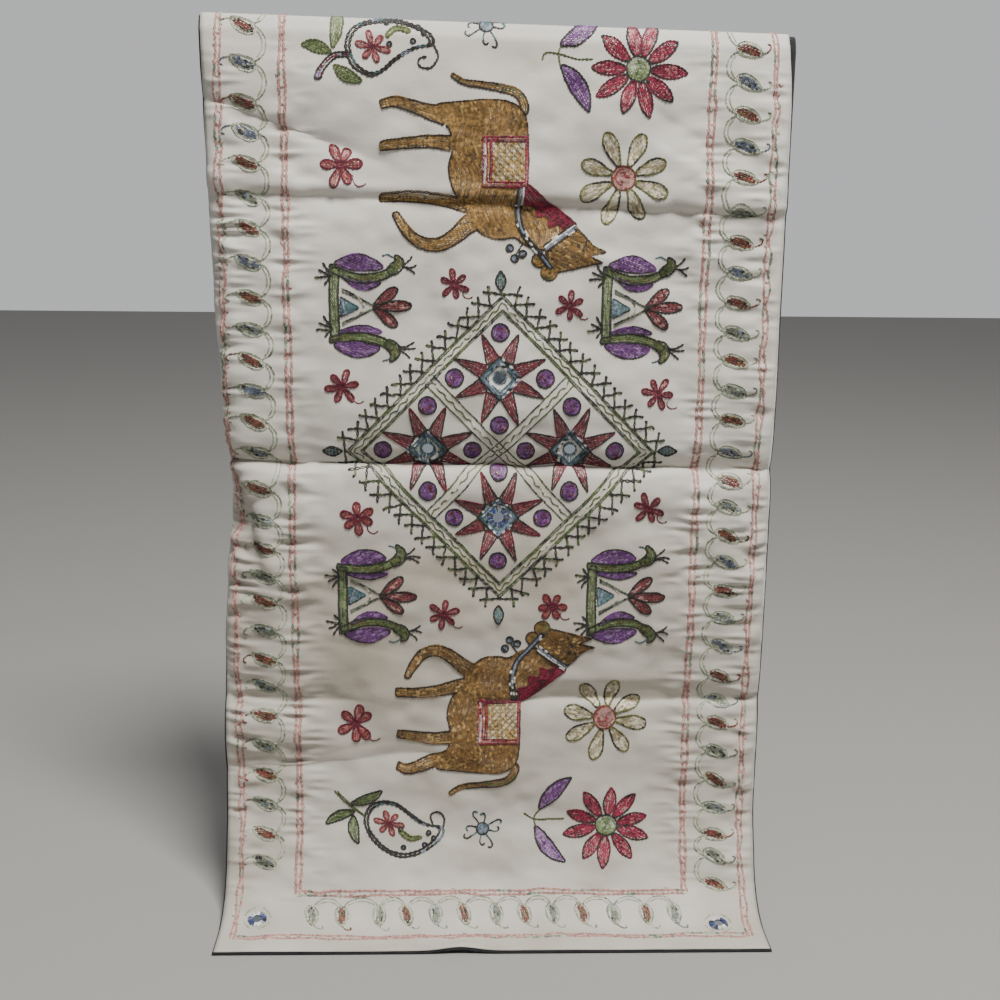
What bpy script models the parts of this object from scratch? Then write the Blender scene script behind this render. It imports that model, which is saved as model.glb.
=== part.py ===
"""Mirror work table runner, hung over the top of an upright edge.

An ivory embroidered face panel and a black lining of the same cut hang together over the edge.
A short flap hangs behind it. The long end hangs in front, swings forward near its foot and lies
flat where it meets the surface below. Eight round mirrors are held on the face panel.

The frame is in metres with +Z up. The face looks towards -Y, and the origin is the middle of the
underside of the fold, where the lining rests on the edge.

The cloth is laid out in flat coordinates first. u runs across the runner from its middle, to the
right as seen from the front. v runs along it from its middle, downwards on the long end.
"""

import math

import bmesh
import bpy
import numpy as np
from mathutils import Matrix, Vector

# Cut sizes of the cloth
RUNNER_WIDTH = 0.400
RUNNER_LENGTH = 0.800
FACE_THICKNESS = 0.0010
LINING_THICKNESS = 0.0010
PLY_GAP = 0.0004
LINING_MARGIN = 0.0013

HALF_WIDTH = RUNNER_WIDTH / 2
HALF_LENGTH = RUNNER_LENGTH / 2

# The path of the cloth from its hidden hem, up the back, over the edge and down to its front hem.
# The heading is 0 going up, 90 going forward and 180 going down.
# Columns: stretch, length in metres, turn of the heading in degrees
PATH = (
    ("rear flap", 0.0890, 0),
    ("rear bend", 0.0100, 90),
    ("ridge", 0.0040, 0),
    ("ridge front", 0.0050, 64),
    ("top band", 0.0060, 2),
    ("front bend", 0.0030, 24),
    ("front hang", 0.5450, 0),
    ("swing forward", 0.0300, -22),
    ("slope", 0.0280, 0),
    ("foot bend", 0.0580, -68),
    ("lying end", 0.0220, 0),
)

# The cloth hangs a little askew, so its fold lies lower on the right than on the left
TOP_SKEW = 0.0045
SKEW_FROM = -0.270
SKEW_UNTIL = -0.090

# Creases that cross the cloth as straight lines between its two long edges. A negative height is
# a trough. Above and below say how fast each flank dies away, in metres.
# Columns: crease, v at left edge, v at right edge, above, below, height, from u, to u, fade
CREASES = (
    ("middle fold", 0.0070, 0.0115, 0.0110, 0.0065, -0.0072, -0.30, 0.30, 0.02),
    ("upper fold ridge", -0.1890, -0.1760, 0.0100, 0.0045, 0.0028, -0.30, 0.30, 0.02),
    ("upper fold trough", -0.1820, -0.1690, 0.0050, 0.0090, -0.0024, -0.30, 0.30, 0.02),
    ("lower fold right", 0.1870, 0.1890, 0.0140, 0.0080, -0.0042, 0.04, 0.30, 0.07),
    ("lower fold left", 0.1870, 0.1870, 0.0110, 0.0070, -0.0036, -0.30, -0.13, 0.05),
    ("lower left trough", 0.2450, 0.2050, 0.0110, 0.0090, -0.0045, -0.30, -0.06, 0.05),
    ("upper left trough", -0.2450, -0.1050, 0.0120, 0.0110, -0.0050, -0.30, -0.11, 0.05),
)
CREASE_ROUNDING = 0.0028

# Soft swellings of the cloth between the creases
# Columns: u, v, reach across, reach along, height
SWELLINGS = (
    (0.00, -0.045, 0.160, 0.030, 0.0045),
    (-0.10, 0.060, 0.050, 0.045, 0.0030),
    (0.10, 0.110, 0.080, 0.060, 0.0025),
    (-0.13, -0.130, 0.045, 0.040, 0.0030),
    (0.14, -0.120, 0.050, 0.045, -0.0025),
    (0.05, -0.230, 0.090, 0.030, 0.0020),
    (0.00, 0.245, 0.120, 0.030, 0.0020),
)

# The left margin turns back beside the middle of the runner, about a line that runs inwards
# Columns: v, width turned back in metres, angle in degrees
LEFT_TURN = (
    (-0.270, 0.012, 0),
    (-0.200, 0.013, 22),
    (-0.110, 0.014, 36),
    (-0.040, 0.017, 50),
    (0.020, 0.021, 60),
    (0.055, 0.027, 46),
    (0.095, 0.034, 29),
    (0.150, 0.034, 17),
    (0.230, 0.034, 0),
)
TURN_ROUNDING = 0.0050

# Where the edge and the surface hold the cloth flat
EDGE_HOLD_REACH = 0.020
LYING_FROM = HALF_LENGTH - 0.100
LYING_FULL = HALF_LENGTH - 0.050

# The front hem lifts off the surface in one low wave
HEM_WAVE_U = -0.024
HEM_WAVE_REACH = 0.016
HEM_WAVE_LENGTH = 0.014
HEM_WAVE_HEIGHT = 0.0030

# The face panel is drawn in at its right edge beside the fold, which bares the lining there
DRAW_V = -0.292
DRAW_REACH = 0.030
DRAW_WIDTH = 0.0036

# Mirrors
MIRROR_THICKNESS = 0.0009
MIRROR_GAP = 0.0004
MIRROR_SIDES = 28
STAR_MIRROR_RADIUS = 0.0064
CORNER_MIRROR_RADIUS = 0.0054
STAR_CENTRE_U = 0.0025
STAR_CENTRE_V = -0.0045
STAR_REACH = 0.0510

# Columns: name, u, v, radius
MIRRORS = (
    ("star_mirror_upper", STAR_CENTRE_U, STAR_CENTRE_V - STAR_REACH, STAR_MIRROR_RADIUS),
    ("star_mirror_lower", STAR_CENTRE_U, STAR_CENTRE_V + STAR_REACH, STAR_MIRROR_RADIUS),
    ("star_mirror_left", STAR_CENTRE_U - STAR_REACH, STAR_CENTRE_V, STAR_MIRROR_RADIUS),
    ("star_mirror_right", STAR_CENTRE_U + STAR_REACH, STAR_CENTRE_V, STAR_MIRROR_RADIUS),
    ("corner_mirror_front_left", -0.1740, 0.3620, CORNER_MIRROR_RADIUS),
    ("corner_mirror_front_right", 0.1680, 0.3690, CORNER_MIRROR_RADIUS),
    ("corner_mirror_rear_left", -0.1720, -0.3660, CORNER_MIRROR_RADIUS),
    ("corner_mirror_rear_right", 0.1710, -0.3640, CORNER_MIRROR_RADIUS),
)

# Mesh steps, in metres of cloth
PLAIN_STEP = 0.0180
BEND_STEP = 0.0030
CREASE_STEP = 0.0046
CREASE_BAND = 0.016
FOOT_STEP = 0.0085
COLUMN_STEP = 0.0240
EDGE_STEP = 0.0075
LEFT_EDGE_BAND = 0.040
RIGHT_EDGE_BAND = 0.012
NORMAL_STEP = 0.0002


def smooth_step(value, start, end):
    """0 before start and 1 after end, with a smooth rise between them."""
    share = np.clip((value - start) / (end - start), 0.0, 1.0)
    return share * share * (3 - 2 * share)


def path_frame(v):
    """Place y, z on the path and the heading there in radians, for cloth coordinates v."""
    distance = np.asarray(v, float) + HALF_LENGTH
    y = np.zeros_like(distance)
    z = np.zeros_like(distance)
    heading = np.zeros_like(distance)
    start, at_y, at_z, angle = 0.0, 0.0, 0.0, 0.0
    for number, (_, length, turn) in enumerate(PATH):
        turn = math.radians(turn)
        here = (distance >= start) | (number == 0)
        here &= (distance < start + length) | (number == len(PATH) - 1)
        along = distance[here] - start
        if turn:
            radius = length / turn
            bend = angle + along / radius
            y[here] = at_y + radius * (np.cos(bend) - math.cos(angle))
            z[here] = at_z + radius * (np.sin(bend) - math.sin(angle))
            heading[here] = bend
            at_y += radius * (math.cos(angle + turn) - math.cos(angle))
            at_z += radius * (math.sin(angle + turn) - math.sin(angle))
        else:
            y[here] = at_y - math.sin(angle) * along
            z[here] = at_z + math.cos(angle) * along
            heading[here] = angle
            at_y -= math.sin(angle) * length
            at_z += math.cos(angle) * length
        angle += turn
        start += length
    return y, z, heading


def stretch_middle(name):
    """Cloth coordinate v at the middle of a named stretch of the path."""
    start = -HALF_LENGTH
    for stretch, length, _ in PATH:
        if stretch == name:
            return start + length / 2
        start += length
    raise ValueError(name)


def crease_heights(u, v):
    """Height of the creases and swellings over the path."""
    height = np.zeros(np.shape(u))
    share = (u + HALF_WIDTH) / RUNNER_WIDTH
    for _, v_left, v_right, above, below, top, u_from, u_to, fade in CREASES:
        across = v - (v_left + (v_right - v_left) * share)
        flank = np.where(across < 0, above, below)
        soft = np.sqrt(across**2 + CREASE_ROUNDING**2) - CREASE_ROUNDING
        reach = smooth_step(u, u_from - fade, u_from) * (1 - smooth_step(u, u_to, u_to + fade))
        height += top * np.exp(-soft / flank) * reach
    for u_mid, v_mid, reach_u, reach_v, top in SWELLINGS:
        height += top * np.exp(-(((u - u_mid) / reach_u) ** 2) - ((v - v_mid) / reach_v) ** 2)
    return height


def eased(v, places, values):
    """Values read from a table, with a smooth step from each place to the next."""
    result = np.full(np.shape(v), float(values[0]))
    for place, following, value, after in zip(places, places[1:], values, values[1:]):
        result += (after - value) * smooth_step(v, place, following)
    return result


def turned_margin(u, v):
    """How far the turned left margin moves a point inwards, and how far it drops back."""
    places, widths, angles = zip(*LEFT_TURN)
    past = eased(v, places, widths) - HALF_WIDTH - u
    past = (past + np.sqrt(past**2 + TURN_ROUNDING**2)) / 2
    angle = np.radians(eased(v, places, angles))
    return past * (1 - np.cos(angle)), past * np.sin(angle)


def hanging_share(v):
    """1 where the cloth hangs free and 0 where it is held flat on the edge or the surface."""
    on_edge = np.exp(-(((v - stretch_middle("ridge")) / EDGE_HOLD_REACH) ** 2))
    lying = smooth_step(v, LYING_FROM, LYING_FULL)
    return (1 - on_edge) * (1 - lying)


def fold_skew(u, v):
    """How much lower the cloth lies at the fold than a square hang would have it."""
    return TOP_SKEW * u / HALF_WIDTH * (1 - smooth_step(v, SKEW_FROM, SKEW_UNTIL))


def hem_wave(u, v):
    """Height of the low wave in the front hem."""
    across = np.exp(-(((u - HEM_WAVE_U) / HEM_WAVE_REACH) ** 2))
    return HEM_WAVE_HEIGHT * across * smooth_step(v, HALF_LENGTH - HEM_WAVE_LENGTH, HALF_LENGTH)


def frame_origin():
    """Where the path has the underside of the ridge, which is the origin of the part's frame."""
    y, z, _ = path_frame(np.array([stretch_middle("ridge")]))
    return np.array((0.0, y[0], z[0] - PLY_GAP / 2 - LINING_THICKNESS))


def cloth_middle(u, v):
    """Points of the surface midway between the face panel and the lining, as rows of x, y, z."""
    skew = fold_skew(u, v)
    y, z, heading = path_frame(v - skew)
    free = hanging_share(v - skew)
    inwards, back = turned_margin(u, v)
    height = (crease_heights(u, v) - back) * free + hem_wave(u, v)
    x = u + inwards * free
    z = z + height * np.sin(heading) - skew
    return np.stack((x, y + height * np.cos(heading), z), axis=-1) - frame_origin()


def cloth_normal(u, v):
    """Unit normals of the cloth, out of the embroidered side."""
    across = cloth_middle(u + NORMAL_STEP, v) - cloth_middle(u - NORMAL_STEP, v)
    along = cloth_middle(u, v + NORMAL_STEP) - cloth_middle(u, v - NORMAL_STEP)
    normal = np.cross(along, across)
    return normal / np.linalg.norm(normal, axis=-1, keepdims=True)


def graded_steps(start, end, step_at):
    """Positions from start to end whose spacing follows step_at."""
    fine = np.linspace(start, end, 4001)
    density = np.array([1.0 / step_at(place) for place in fine])
    total = np.concatenate(([0.0], np.cumsum((density[1:] + density[:-1]) / 2)))
    count = int(round(total[-1] * (fine[1] - fine[0])))
    return np.interp(np.linspace(0.0, total[-1], count + 1), total, fine)


def row_step(v):
    """Spacing of the mesh rows, fine at the bends and creases."""
    start = -HALF_LENGTH
    step = PLAIN_STEP
    for name, length, turn in PATH:
        if start <= v <= start + length:
            if abs(turn) >= 20:
                step = BEND_STEP
            if name in ("swing forward", "foot bend", "lying end"):
                step = FOOT_STEP
        start += length
    for crease in CREASES:
        low, high = sorted(crease[1:3])
        if "trough" not in crease[0] and low - CREASE_BAND < v < high + CREASE_BAND / 2:
            step = min(step, CREASE_STEP)
    return step


def column_step(u):
    """Spacing of the mesh columns, fine at the turned left margin."""
    if u < LEFT_EDGE_BAND - HALF_WIDTH or u > HALF_WIDTH - RIGHT_EDGE_BAND:
        return EDGE_STEP
    return COLUMN_STEP


def cloth_edge(u, v, margin, draw):
    """Flat coordinates spread by a margin at all edges and drawn in at the right of the fold."""
    inwards = draw * np.exp(-(((v - DRAW_V) / DRAW_REACH) ** 2))
    u = np.where(u <= -HALF_WIDTH + 1e-6, u - margin, u)
    u = np.where(u >= HALF_WIDTH - 1e-6, u + margin - inwards, u)
    v = np.where(np.abs(v) >= HALF_LENGTH - 1e-6, v + np.sign(v) * margin, v)
    return u, v


def cloth_sheet(name, side, thickness, margin, draw, material, collection):
    """A sheet on one side of the cloth's middle surface: 1 is the face side, -1 the lining side."""
    columns = graded_steps(-HALF_WIDTH, HALF_WIDTH, column_step)
    rows = graded_steps(-HALF_LENGTH, HALF_LENGTH, row_step)
    bm = bmesh.new()
    bmesh.ops.create_grid(bm, x_segments=len(columns) - 1, y_segments=len(rows) - 1, size=0.5)
    share_u = np.array([vert.co.x + 0.5 for vert in bm.verts])
    share_v = np.array([0.5 - vert.co.y for vert in bm.verts])
    u = np.interp(share_u, np.linspace(0, 1, len(columns)), columns)
    v = np.interp(share_v, np.linspace(0, 1, len(rows)), rows)
    u, v = cloth_edge(u, v, margin, draw)
    points = cloth_middle(u, v) + side * PLY_GAP / 2 * cloth_normal(u, v)
    for vert, point in zip(bm.verts, points):
        vert.co = Vector(point)
    mesh = bpy.data.meshes.new(name)
    bm.to_mesh(mesh)
    bm.free()
    sheet = bpy.data.objects.new(name, mesh)
    collection.objects.link(sheet)
    mesh.materials.append(material)
    solidify = sheet.modifiers.new("thickness", "SOLIDIFY")
    solidify.thickness = thickness
    solidify.offset = side
    solidify.use_even_offset = True
    solidify.use_quality_normals = True
    mesh.shade_smooth()
    return sheet


def mirror_disc(name, u, v, radius, material, collection):
    """A round mirror that lies on the face panel, clear of the highest cloth under it."""
    centre = cloth_middle(np.array([u]), np.array([v]))[0]
    normal = cloth_normal(np.array([u]), np.array([v]))[0]
    ring = np.linspace(0, 2 * np.pi, 24, endpoint=False)
    reach = radius + LINING_MARGIN
    near_u = np.concatenate([u + reach * part * np.cos(ring) for part in (0.0, 0.5, 1.0)])
    near_v = np.concatenate([v + reach * part * np.sin(ring) for part in (0.0, 0.5, 1.0)])
    rise = ((cloth_middle(near_u, near_v) - centre) @ normal).max()
    lift = rise + PLY_GAP / 2 + FACE_THICKNESS + MIRROR_GAP + MIRROR_THICKNESS / 2
    bm = bmesh.new()
    bmesh.ops.create_cone(
        bm,
        cap_ends=True,
        segments=MIRROR_SIDES,
        radius1=radius,
        radius2=radius,
        depth=MIRROR_THICKNESS,
    )
    mesh = bpy.data.meshes.new(name)
    bm.to_mesh(mesh)
    bm.free()
    disc = bpy.data.objects.new(name, mesh)
    collection.objects.link(disc)
    mesh.materials.append(material)
    turn = Vector((0, 0, 1)).rotation_difference(Vector(normal)).to_matrix().to_4x4()
    disc.matrix_world = Matrix.Translation(Vector(centre + normal * lift)) @ turn
    mesh.shade_smooth()
    mesh.set_sharp_from_angle(angle=math.radians(40))
    return disc


def new_material(name, color, roughness, metallic):
    """A Principled material of one colour."""
    material = bpy.data.materials.new(name)
    material.use_nodes = True
    shader = material.node_tree.nodes["Principled BSDF"]
    shader.inputs["Base Color"].default_value = (*color, 1.0)
    shader.inputs["Roughness"].default_value = roughness
    shader.inputs["Metallic"].default_value = metallic
    material.diffuse_color = (*color, 1.0)
    return material


def build_runner():
    """The whole runner in its collection."""
    collection = bpy.data.collections.new("mirror_work_table_runner")
    bpy.context.scene.collection.children.link(collection)
    ivory = new_material("ivory cotton", (0.72, 0.69, 0.60), 0.75, 0.0)
    black = new_material("black cotton", (0.015, 0.015, 0.017), 0.85, 0.0)
    glass = new_material("mirror glass", (0.80, 0.83, 0.85), 0.06, 1.0)
    cloth_sheet("face_panel", 1, FACE_THICKNESS, 0.0, DRAW_WIDTH, ivory, collection)
    cloth_sheet("lining", -1, LINING_THICKNESS, LINING_MARGIN, 0.0, black, collection)
    for name, u, v, radius in MIRRORS:
        mirror_disc(name, u, v, radius, glass, collection)


for old in list(bpy.data.objects):
    bpy.data.objects.remove(old, do_unlink=True)

build_runner()
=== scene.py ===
import math

import bpy
import numpy as np
from mathutils import Matrix, Vector


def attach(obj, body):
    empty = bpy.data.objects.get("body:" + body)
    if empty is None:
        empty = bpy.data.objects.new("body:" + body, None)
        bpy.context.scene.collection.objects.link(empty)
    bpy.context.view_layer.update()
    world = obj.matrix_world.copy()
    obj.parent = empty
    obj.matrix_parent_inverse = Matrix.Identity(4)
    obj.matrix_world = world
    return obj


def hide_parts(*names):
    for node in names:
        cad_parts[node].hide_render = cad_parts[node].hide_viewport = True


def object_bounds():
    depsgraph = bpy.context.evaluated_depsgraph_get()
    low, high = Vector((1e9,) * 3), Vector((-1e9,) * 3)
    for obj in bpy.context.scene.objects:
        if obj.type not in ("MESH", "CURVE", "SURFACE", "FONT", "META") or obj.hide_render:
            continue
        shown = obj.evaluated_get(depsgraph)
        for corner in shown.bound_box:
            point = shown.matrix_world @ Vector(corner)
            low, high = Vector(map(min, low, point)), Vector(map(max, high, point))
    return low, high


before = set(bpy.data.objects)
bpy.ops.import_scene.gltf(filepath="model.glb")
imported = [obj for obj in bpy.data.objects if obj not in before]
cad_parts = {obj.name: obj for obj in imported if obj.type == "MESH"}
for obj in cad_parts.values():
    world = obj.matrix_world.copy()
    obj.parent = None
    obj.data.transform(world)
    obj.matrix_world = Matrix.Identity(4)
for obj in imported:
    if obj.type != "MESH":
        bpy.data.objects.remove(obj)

cad_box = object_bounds()

# The cloth's shape, as in the CAD

RUNNER_WIDTH = 0.400
RUNNER_LENGTH = 0.800
FACE_THICKNESS = 0.0010
LINING_THICKNESS = 0.0010
PLY_GAP = 0.0004
LINING_MARGIN = 0.0013
HALF_WIDTH = RUNNER_WIDTH / 2
HALF_LENGTH = RUNNER_LENGTH / 2

# The section from the rear hem to the front hem: name of a stretch, length, turn in degrees
PATH = (
    ("rear flap", 0.0890, 0),
    ("rear bend", 0.0100, 90),
    ("ridge", 0.0040, 0),
    ("ridge front", 0.0050, 64),
    ("top band", 0.0060, 2),
    ("front bend", 0.0030, 24),
    ("front hang", 0.5450, 0),
    ("swing forward", 0.0300, -22),
    ("slope", 0.0280, 0),
    ("foot bend", 0.0580, -68),
    ("lying end", 0.0220, 0),
)
TOP_SKEW = 0.0045
SKEW_FROM = -0.270
SKEW_UNTIL = -0.090
# Columns: name, v at the left and the right edge, flank above, flank below, height, u from,
# u to, fade
CREASES = (
    ("middle fold", 0.0070, 0.0115, 0.0110, 0.0065, -0.0072, -0.30, 0.30, 0.02),
    ("upper fold ridge", -0.1890, -0.1760, 0.0100, 0.0045, 0.0028, -0.30, 0.30, 0.02),
    ("upper fold trough", -0.1820, -0.1690, 0.0050, 0.0090, -0.0024, -0.30, 0.30, 0.02),
    ("lower fold right", 0.1870, 0.1890, 0.0140, 0.0080, -0.0042, 0.04, 0.30, 0.07),
    ("lower fold left", 0.1870, 0.1870, 0.0110, 0.0070, -0.0036, -0.30, -0.13, 0.05),
    ("lower left trough", 0.2450, 0.2050, 0.0110, 0.0090, -0.0045, -0.30, -0.06, 0.05),
    ("upper left trough", -0.2450, -0.1050, 0.0120, 0.0110, -0.0050, -0.30, -0.11, 0.05),
)
CREASE_ROUNDING = 0.0028
# Columns: u, v, reach across, reach along, height
SWELLINGS = (
    (0.00, -0.045, 0.160, 0.030, 0.0045),
    (-0.10, 0.060, 0.050, 0.045, 0.0030),
    (0.10, 0.110, 0.080, 0.060, 0.0025),
    (-0.13, -0.130, 0.045, 0.040, 0.0030),
    (0.14, -0.120, 0.050, 0.045, -0.0025),
    (0.05, -0.230, 0.090, 0.030, 0.0020),
    (0.00, 0.245, 0.120, 0.030, 0.0020),
)
# Columns: v, width of the turned margin, its turn in degrees
LEFT_TURN = (
    (-0.270, 0.012, 0),
    (-0.200, 0.013, 22),
    (-0.110, 0.014, 36),
    (-0.040, 0.017, 50),
    (0.020, 0.021, 60),
    (0.055, 0.027, 46),
    (0.095, 0.034, 29),
    (0.150, 0.034, 17),
    (0.230, 0.034, 0),
)
TURN_ROUNDING = 0.0050
EDGE_HOLD_REACH = 0.020
LYING_FROM = HALF_LENGTH - 0.100
LYING_FULL = HALF_LENGTH - 0.050
HEM_WAVE_U = -0.024
HEM_WAVE_REACH = 0.016
HEM_WAVE_LENGTH = 0.014
HEM_WAVE_HEIGHT = 0.0030
DRAW_V = -0.292
DRAW_REACH = 0.030
DRAW_WIDTH = 0.0036
NORMAL_STEP = 0.0002


def smooth_step(value, start, end):
    """A share from 0 at the start to 1 at the end, level at both."""
    share = np.clip((value - start) / (end - start), 0.0, 1.0)
    return share * share * (3 - 2 * share)


def path_frame(v):
    """Place and heading of the section at each distance along the cloth."""
    distance = np.asarray(v, float) + HALF_LENGTH
    y, z, heading = (np.zeros_like(distance) for _ in range(3))
    start, at_y, at_z, angle = 0.0, 0.0, 0.0, 0.0
    for number, (_, length, turn) in enumerate(PATH):
        turn = math.radians(turn)
        here = (distance >= start) | (number == 0)
        here &= (distance < start + length) | (number == len(PATH) - 1)
        along = distance[here] - start
        if turn:
            radius = length / turn
            bend = angle + along / radius
            y[here] = at_y + radius * (np.cos(bend) - math.cos(angle))
            z[here] = at_z + radius * (np.sin(bend) - math.sin(angle))
            heading[here] = bend
            at_y += radius * (math.cos(angle + turn) - math.cos(angle))
            at_z += radius * (math.sin(angle + turn) - math.sin(angle))
        else:
            y[here] = at_y - math.sin(angle) * along
            z[here] = at_z + math.cos(angle) * along
            heading[here] = angle
            at_y -= math.sin(angle) * length
            at_z += math.cos(angle) * length
        angle += turn
        start += length
    return y, z, heading


def stretch_middle(name):
    """Where along the cloth the middle of a stretch lies."""
    start = -HALF_LENGTH
    for stretch, length, _ in PATH:
        if stretch == name:
            return start + length / 2
        start += length
    raise ValueError(name)


def crease_heights(u, v):
    """Height of the main folds and swellings."""
    height = np.zeros(np.shape(u))
    share = (u + HALF_WIDTH) / RUNNER_WIDTH
    for _, v_left, v_right, above, below, top, u_from, u_to, fade in CREASES:
        across = v - (v_left + (v_right - v_left) * share)
        flank = np.where(across < 0, above, below)
        soft = np.sqrt(across**2 + CREASE_ROUNDING**2) - CREASE_ROUNDING
        reach = smooth_step(u, u_from - fade, u_from) * (1 - smooth_step(u, u_to, u_to + fade))
        height += top * np.exp(-soft / flank) * reach
    for u_mid, v_mid, reach_u, reach_v, top in SWELLINGS:
        height += top * np.exp(-(((u - u_mid) / reach_u) ** 2) - ((v - v_mid) / reach_v) ** 2)
    return height


def eased(v, places, values):
    """Values at places along the cloth, with soft steps between them."""
    result = np.full(np.shape(v), float(values[0]))
    for place, following, value, after in zip(places, places[1:], values, values[1:]):
        result += (after - value) * smooth_step(v, place, following)
    return result


def turned_margin(u, v):
    """How far the left margin is drawn inwards and back by its turn."""
    places, widths, angles = zip(*LEFT_TURN)
    past = eased(v, places, widths) - HALF_WIDTH - u
    past = (past + np.sqrt(past**2 + TURN_ROUNDING**2)) / 2
    angle = np.radians(eased(v, places, angles))
    return past * (1 - np.cos(angle)), past * np.sin(angle)


def hanging_share(v):
    """1 where the cloth hangs free, 0 on the edge that holds it and where it lies."""
    on_edge = np.exp(-(((v - stretch_middle("ridge")) / EDGE_HOLD_REACH) ** 2))
    return (1 - on_edge) * (1 - smooth_step(v, LYING_FROM, LYING_FULL))


def fold_skew(u, v):
    """How far the fold over the edge runs askew."""
    return TOP_SKEW * u / HALF_WIDTH * (1 - smooth_step(v, SKEW_FROM, SKEW_UNTIL))


def hem_wave(u, v):
    """The one place where the hem lifts off the surface."""
    across = np.exp(-(((u - HEM_WAVE_U) / HEM_WAVE_REACH) ** 2))
    return HEM_WAVE_HEIGHT * across * smooth_step(v, HALF_LENGTH - HEM_WAVE_LENGTH, HALF_LENGTH)


def frame_origin():
    """The middle of the underside of the fold."""
    y, z, _ = path_frame(np.array([stretch_middle("ridge")]))
    return np.array((0.0, y[0], z[0] - PLY_GAP / 2 - LINING_THICKNESS))


def cloth_middle(u, v):
    """The middle surface of the two cloths."""
    skew = fold_skew(u, v)
    y, z, heading = path_frame(v - skew)
    free = hanging_share(v - skew)
    inwards, back = turned_margin(u, v)
    height = (crease_heights(u, v) - back) * free + hem_wave(u, v)
    z = z + height * np.sin(heading) - skew
    points = np.stack((u + inwards * free, y + height * np.cos(heading), z), axis=-1)
    return points - frame_origin()


def cloth_normal(u, v):
    """Normals of the middle surface, out of the embroidered side."""
    across = cloth_middle(u + NORMAL_STEP, v) - cloth_middle(u - NORMAL_STEP, v)
    along = cloth_middle(u, v + NORMAL_STEP) - cloth_middle(u, v - NORMAL_STEP)
    normal = np.cross(along, across)
    return normal / np.linalg.norm(normal, axis=-1, keepdims=True)


# Small wrinkles of the face panel


def lattice_noise(a, b, seed):
    """Smooth noise from -1 to 1 on a square lattice of unit cells."""
    grid = np.random.default_rng(seed).uniform(-1, 1, (97, 97))
    i, j = np.floor(a).astype(int), np.floor(b).astype(int)
    s, t = a - i, b - j
    s, t = s * s * (3 - 2 * s), t * t * (3 - 2 * t)
    i, j, k, l = i % 97, j % 97, (i + 1) % 97, (j + 1) % 97
    low = grid[i, j] * (1 - s) + grid[k, j] * s
    high = grid[i, l] * (1 - s) + grid[k, l] * s
    return low * (1 - t) + high * t


# Where stitched lines draw the cloth into short ridges across them
# Columns: u of the line, reach outwards, reach inwards, height
PUCKER_LINES = (
    (-0.189, 0.012, 0.016, 0.0018),
    (-0.1455, 0.013, 0.015, 0.0015),
    (0.1455, 0.015, 0.013, 0.0013),
    (0.189, 0.016, 0.012, 0.0015),
)


# Where the puckers are stronger, beside the folds. Columns: v, reach along, strength
STRONG_PUCKERS = ((-0.175, 0.045, 0.55), (0.060, 0.070, 0.50), (0.205, 0.030, 0.35))
PUCKER_FADE = (0.26, 0.34)


def pucker_strength(v):
    """Puckers are strongest beside the folds and weak near the foot."""
    strength = 0.85 + 0.45 * lattice_noise(v * 14.0, v * 0.0 + 3.3, 7)
    for v_mid, reach, more in STRONG_PUCKERS:
        strength += more * np.exp(-(((v - v_mid) / reach) ** 2))
    strength *= 1 - 0.55 * smooth_step(v, *PUCKER_FADE)
    return np.clip(strength, 0.1, 1.5)


# Height of the wrinkled face over the plain one, so that its troughs stay clear of the lining, and
# the lowest that a trough may reach
PROUD = 0.0036
LOWEST_TROUGH = -0.0007
CREASE_WAVER = 0.0012
CREASE_SOFTNESS = 0.0012
# The wrinkles fade over these distances: at the edges, over the ridge, at the foot, round a mirror
EDGE_CALM = (-0.003, 0.007)
RIDGE_CALM = 0.030
FOOT_CALM = (0.345, 0.385)
MIRROR_CALM = 0.009

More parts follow.
